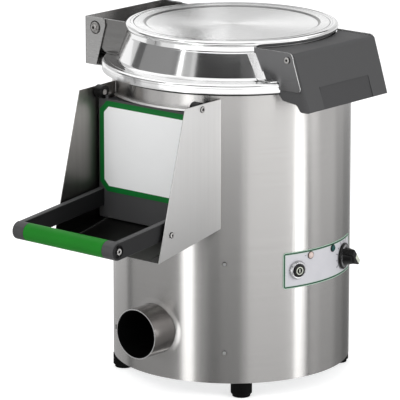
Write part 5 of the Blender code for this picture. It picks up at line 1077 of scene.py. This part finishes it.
def make_plate():
    """The peeling plate with three smooth waves that grow towards its edge."""
    low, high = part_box("peeling_plate")
    edge, hub, foot, bore, steps = high.x / MM, 30.0, low.z / MM, 7.3, 12
    rings = [hub + (edge - hub) * i / steps for i in range(steps + 1)]
    outline = [(bore, foot), (edge, foot)] + [(radius, foot + 5) for radius in rings[::-1]] + [(bore, foot + 5)]
    plate = spun(outline)
    for vert in plate.verts:
        radius = vert.co.xy.length / MM
        if vert.co.z > (foot + 2.5) * MM and radius > hub:
            turn = vert.co.xy.angle_signed(Vector((1, 0))) * 3
            vert.co.z += 7 * MM * (radius - hub) / (edge - hub) * (1 + cos(turn)) / 2
    piece("peeling_plate_grit", plate, GRIT, "abrasive", "peeling_plate", body="rotor", smooth=50)


CARRIED = {
    ZINC: ("base_plate", "sump_pan", "motor_bracket", "main_shaft", "motor_shaft", "shaft_bearing", "plate_nut"),
    CAST: ("bearing_housing", "driven_pulley", "motor_pulley", "lid_magnet", "door_magnet"),
    BLACK: ("lid_reed_switch", "door_reed_switch", "shaft_seal"),
    RUBBER: ("drive_belt",),
    OFF_WHITE: ("timer_body", "contact_block", "electrics_box"),
    MOTOR_PAINT: ("motor_housing",),
}


def finish_carried_nodes():
    """Give the pieces that keep their CAD shape their finishes."""
    for finish, names in CARRIED.items():
        for name in names:
            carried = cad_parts[name]
            if not carried.material_slots:
                carried.data.materials.append(finish)
            for holder in carried.material_slots:
                holder.material = finish


# Studio

def blank_tree(owner):
    owner.use_nodes = True
    owner.node_tree.nodes.clear()
    return owner.node_tree


def emitting(name, level, dims=False):
    """A material that only glows. Where it dims, it does so towards the floor."""
    material = bpy.data.materials.new(name)
    tree = blank_tree(material)
    strength = level
    if dims:
        spot = node(tree, "ShaderNodeTexCoord").outputs["Object"]
        height = node(tree, "ShaderNodeSeparateXYZ", {"Vector": spot}).outputs["Z"]
        strength = node(tree, "ShaderNodeMapRange", {"Value": height, "From Min": -0.16, "From Max": 0.2,
                                                     "To Min": 0.6 * level, "To Max": 1.18 * level}).outputs["Result"]
    glow = node(tree, "ShaderNodeEmission", {"Strength": strength})
    node(tree, "ShaderNodeOutputMaterial", {"Surface": glow.outputs["Emission"]})
    material.cycles.emission_sampling = "NONE"
    return material


def stage_piece(name, shape, material, gloss_only=False):
    mesh = as_mesh(shape, name)
    mesh.materials.append(material)
    made = in_scene(name, mesh)
    if gloss_only:
        made.visible_camera = False
        made.visible_diffuse = False
        made.visible_shadow = False
    return made


def make_cards():
    """Cards curved round the peeler. Those that reach the floor dim towards it."""
    for row, (low, high, stops) in CARD_ROWS.items():
        for number in range(0, len(stops) - 1, 2):
            start, level, end = stops[number:number + 3]
            sheet = bmesh.new()
            ends = [sheet.verts.new((CARD_R, 0, height)) for height in (low, high)]
            side = sheet.edges.new(ends)
            at_start = Matrix.Rotation(radians(VIEW_TURN - 90 + start), 3, "Z")
            bmesh.ops.rotate(sheet, verts=ends, cent=(0, 0, 0), matrix=at_start)
            bmesh.ops.spin(sheet, geom=[*ends, side], axis=(0, 0, 1), cent=(0, 0, 0), angle=radians(end - start),
                           steps=max(2, round((end - start) / 2)))
            name = f"{row}_card_{number // 2}"
            stage_piece(name, sheet, emitting(name + "_glow", level, low < 0), gloss_only=True)


def flat_sheet(half, height):
    sheet = bmesh.new()
    bmesh.ops.create_grid(sheet, x_segments=1, y_segments=1, size=half)
    return moved(sheet, Matrix.Translation((0, 0, height)))


def seen_directly(tree):
    """Is 1 where the camera sees something, also in a gloss or through a lens, and 0 where it lights."""
    path = node(tree, "ShaderNodeLightPath")
    seen = path.outputs["Is Camera Ray"]
    for name in ("Is Glossy Ray", "Is Transmission Ray"):
        seen = node(tree, "ShaderNodeMath", {0: seen, 1: path.outputs[name]}, operation="MAXIMUM").outputs["Value"]
    return seen


def make_floor():
    """A pale floor that keeps the shadow and is white where the camera sees it lit."""
    pale = Finish("studio_floor", (0.8, 0.8, 0.8), 0.9, Emission_Color=(1, 1, 1, 1))
    pale.feed(Emission_Strength=pale.maths("MULTIPLY", seen_directly(pale.tree), FLOOR_LIFT))
    made = stage_piece("studio_floor", flat_sheet(30, FLOOR_Z * MM), pale.material)
    made.visible_glossy = False


def make_world():
    world = bpy.data.worlds.new("studio_air")
    bpy.context.scene.world = world
    tree = blank_tree(world)
    air, white = [node(tree, "ShaderNodeBackground", {"Color": (1, 1, 1, 1), "Strength": level}).outputs["Background"]
                  for level in (AIR_LEVEL, 1.0)]
    mix = node(tree, "ShaderNodeMixShader", {"Fac": seen_directly(tree), 1: air, 2: white})
    node(tree, "ShaderNodeOutputWorld", {"Surface": mix.outputs["Shader"]})


def make_softbox(name, place, size, power):
    """A lamp aimed at the drum, which no gloss shows."""
    light = bpy.data.lights.new(name, "AREA")
    light.shape = "RECTANGLE"
    light.size, light.size_y = size
    light.energy = power
    made = in_scene(name, light)
    made.location = place
    made.rotation_euler = (Vector(place) - Vector((0, 0, 0.25))).to_track_quat("Z", "Y").to_euler()
    made.visible_glossy = False
    made.visible_camera = False


def make_camera():
    turn, rise = radians(VIEW_TURN), radians(VIEW_RISE)
    back = Vector((sin(turn) * cos(rise), -cos(turn) * cos(rise), sin(rise)))
    camera = bpy.data.cameras.new("photo_camera")
    camera.lens = LENS
    camera.sensor_width = 36
    camera.clip_end = 60
    made = in_scene("photo_camera", camera)
    made.location = VIEW_TARGET + back * VIEW_AWAY
    made.rotation_euler = back.to_track_quat("Z", "Y").to_euler()
    bpy.context.scene.camera = made


def make_studio():
    bpy.context.scene.view_settings.view_transform = "Standard"
    make_world()
    make_floor()
    make_cards()
    stage_piece("ceiling_card", flat_sheet(0.55, 1.9), emitting("ceiling_glow", CEILING_LEVEL), gloss_only=True)
    make_softbox("key_softbox", (-0.6, -2.4, 2.4), (1.6, 1.6), 26)
    make_softbox("side_softbox", (2.4, 0.2, 1.2), (1.4, 1.8), 12)
    make_camera()


make_drum()
make_rivets()
make_feet()
make_drain()
make_chute()
make_chute_screws()
make_door()
make_door_label()
make_lid()
make_ears()
make_cover()
make_bracket()
make_panel_film()
make_dial_marks()
make_button()
make_lamps()
make_knob()
make_rear_fittings()
make_plate()
finish_carried_nodes()
make_studio()

bpy.context.view_layer.update()
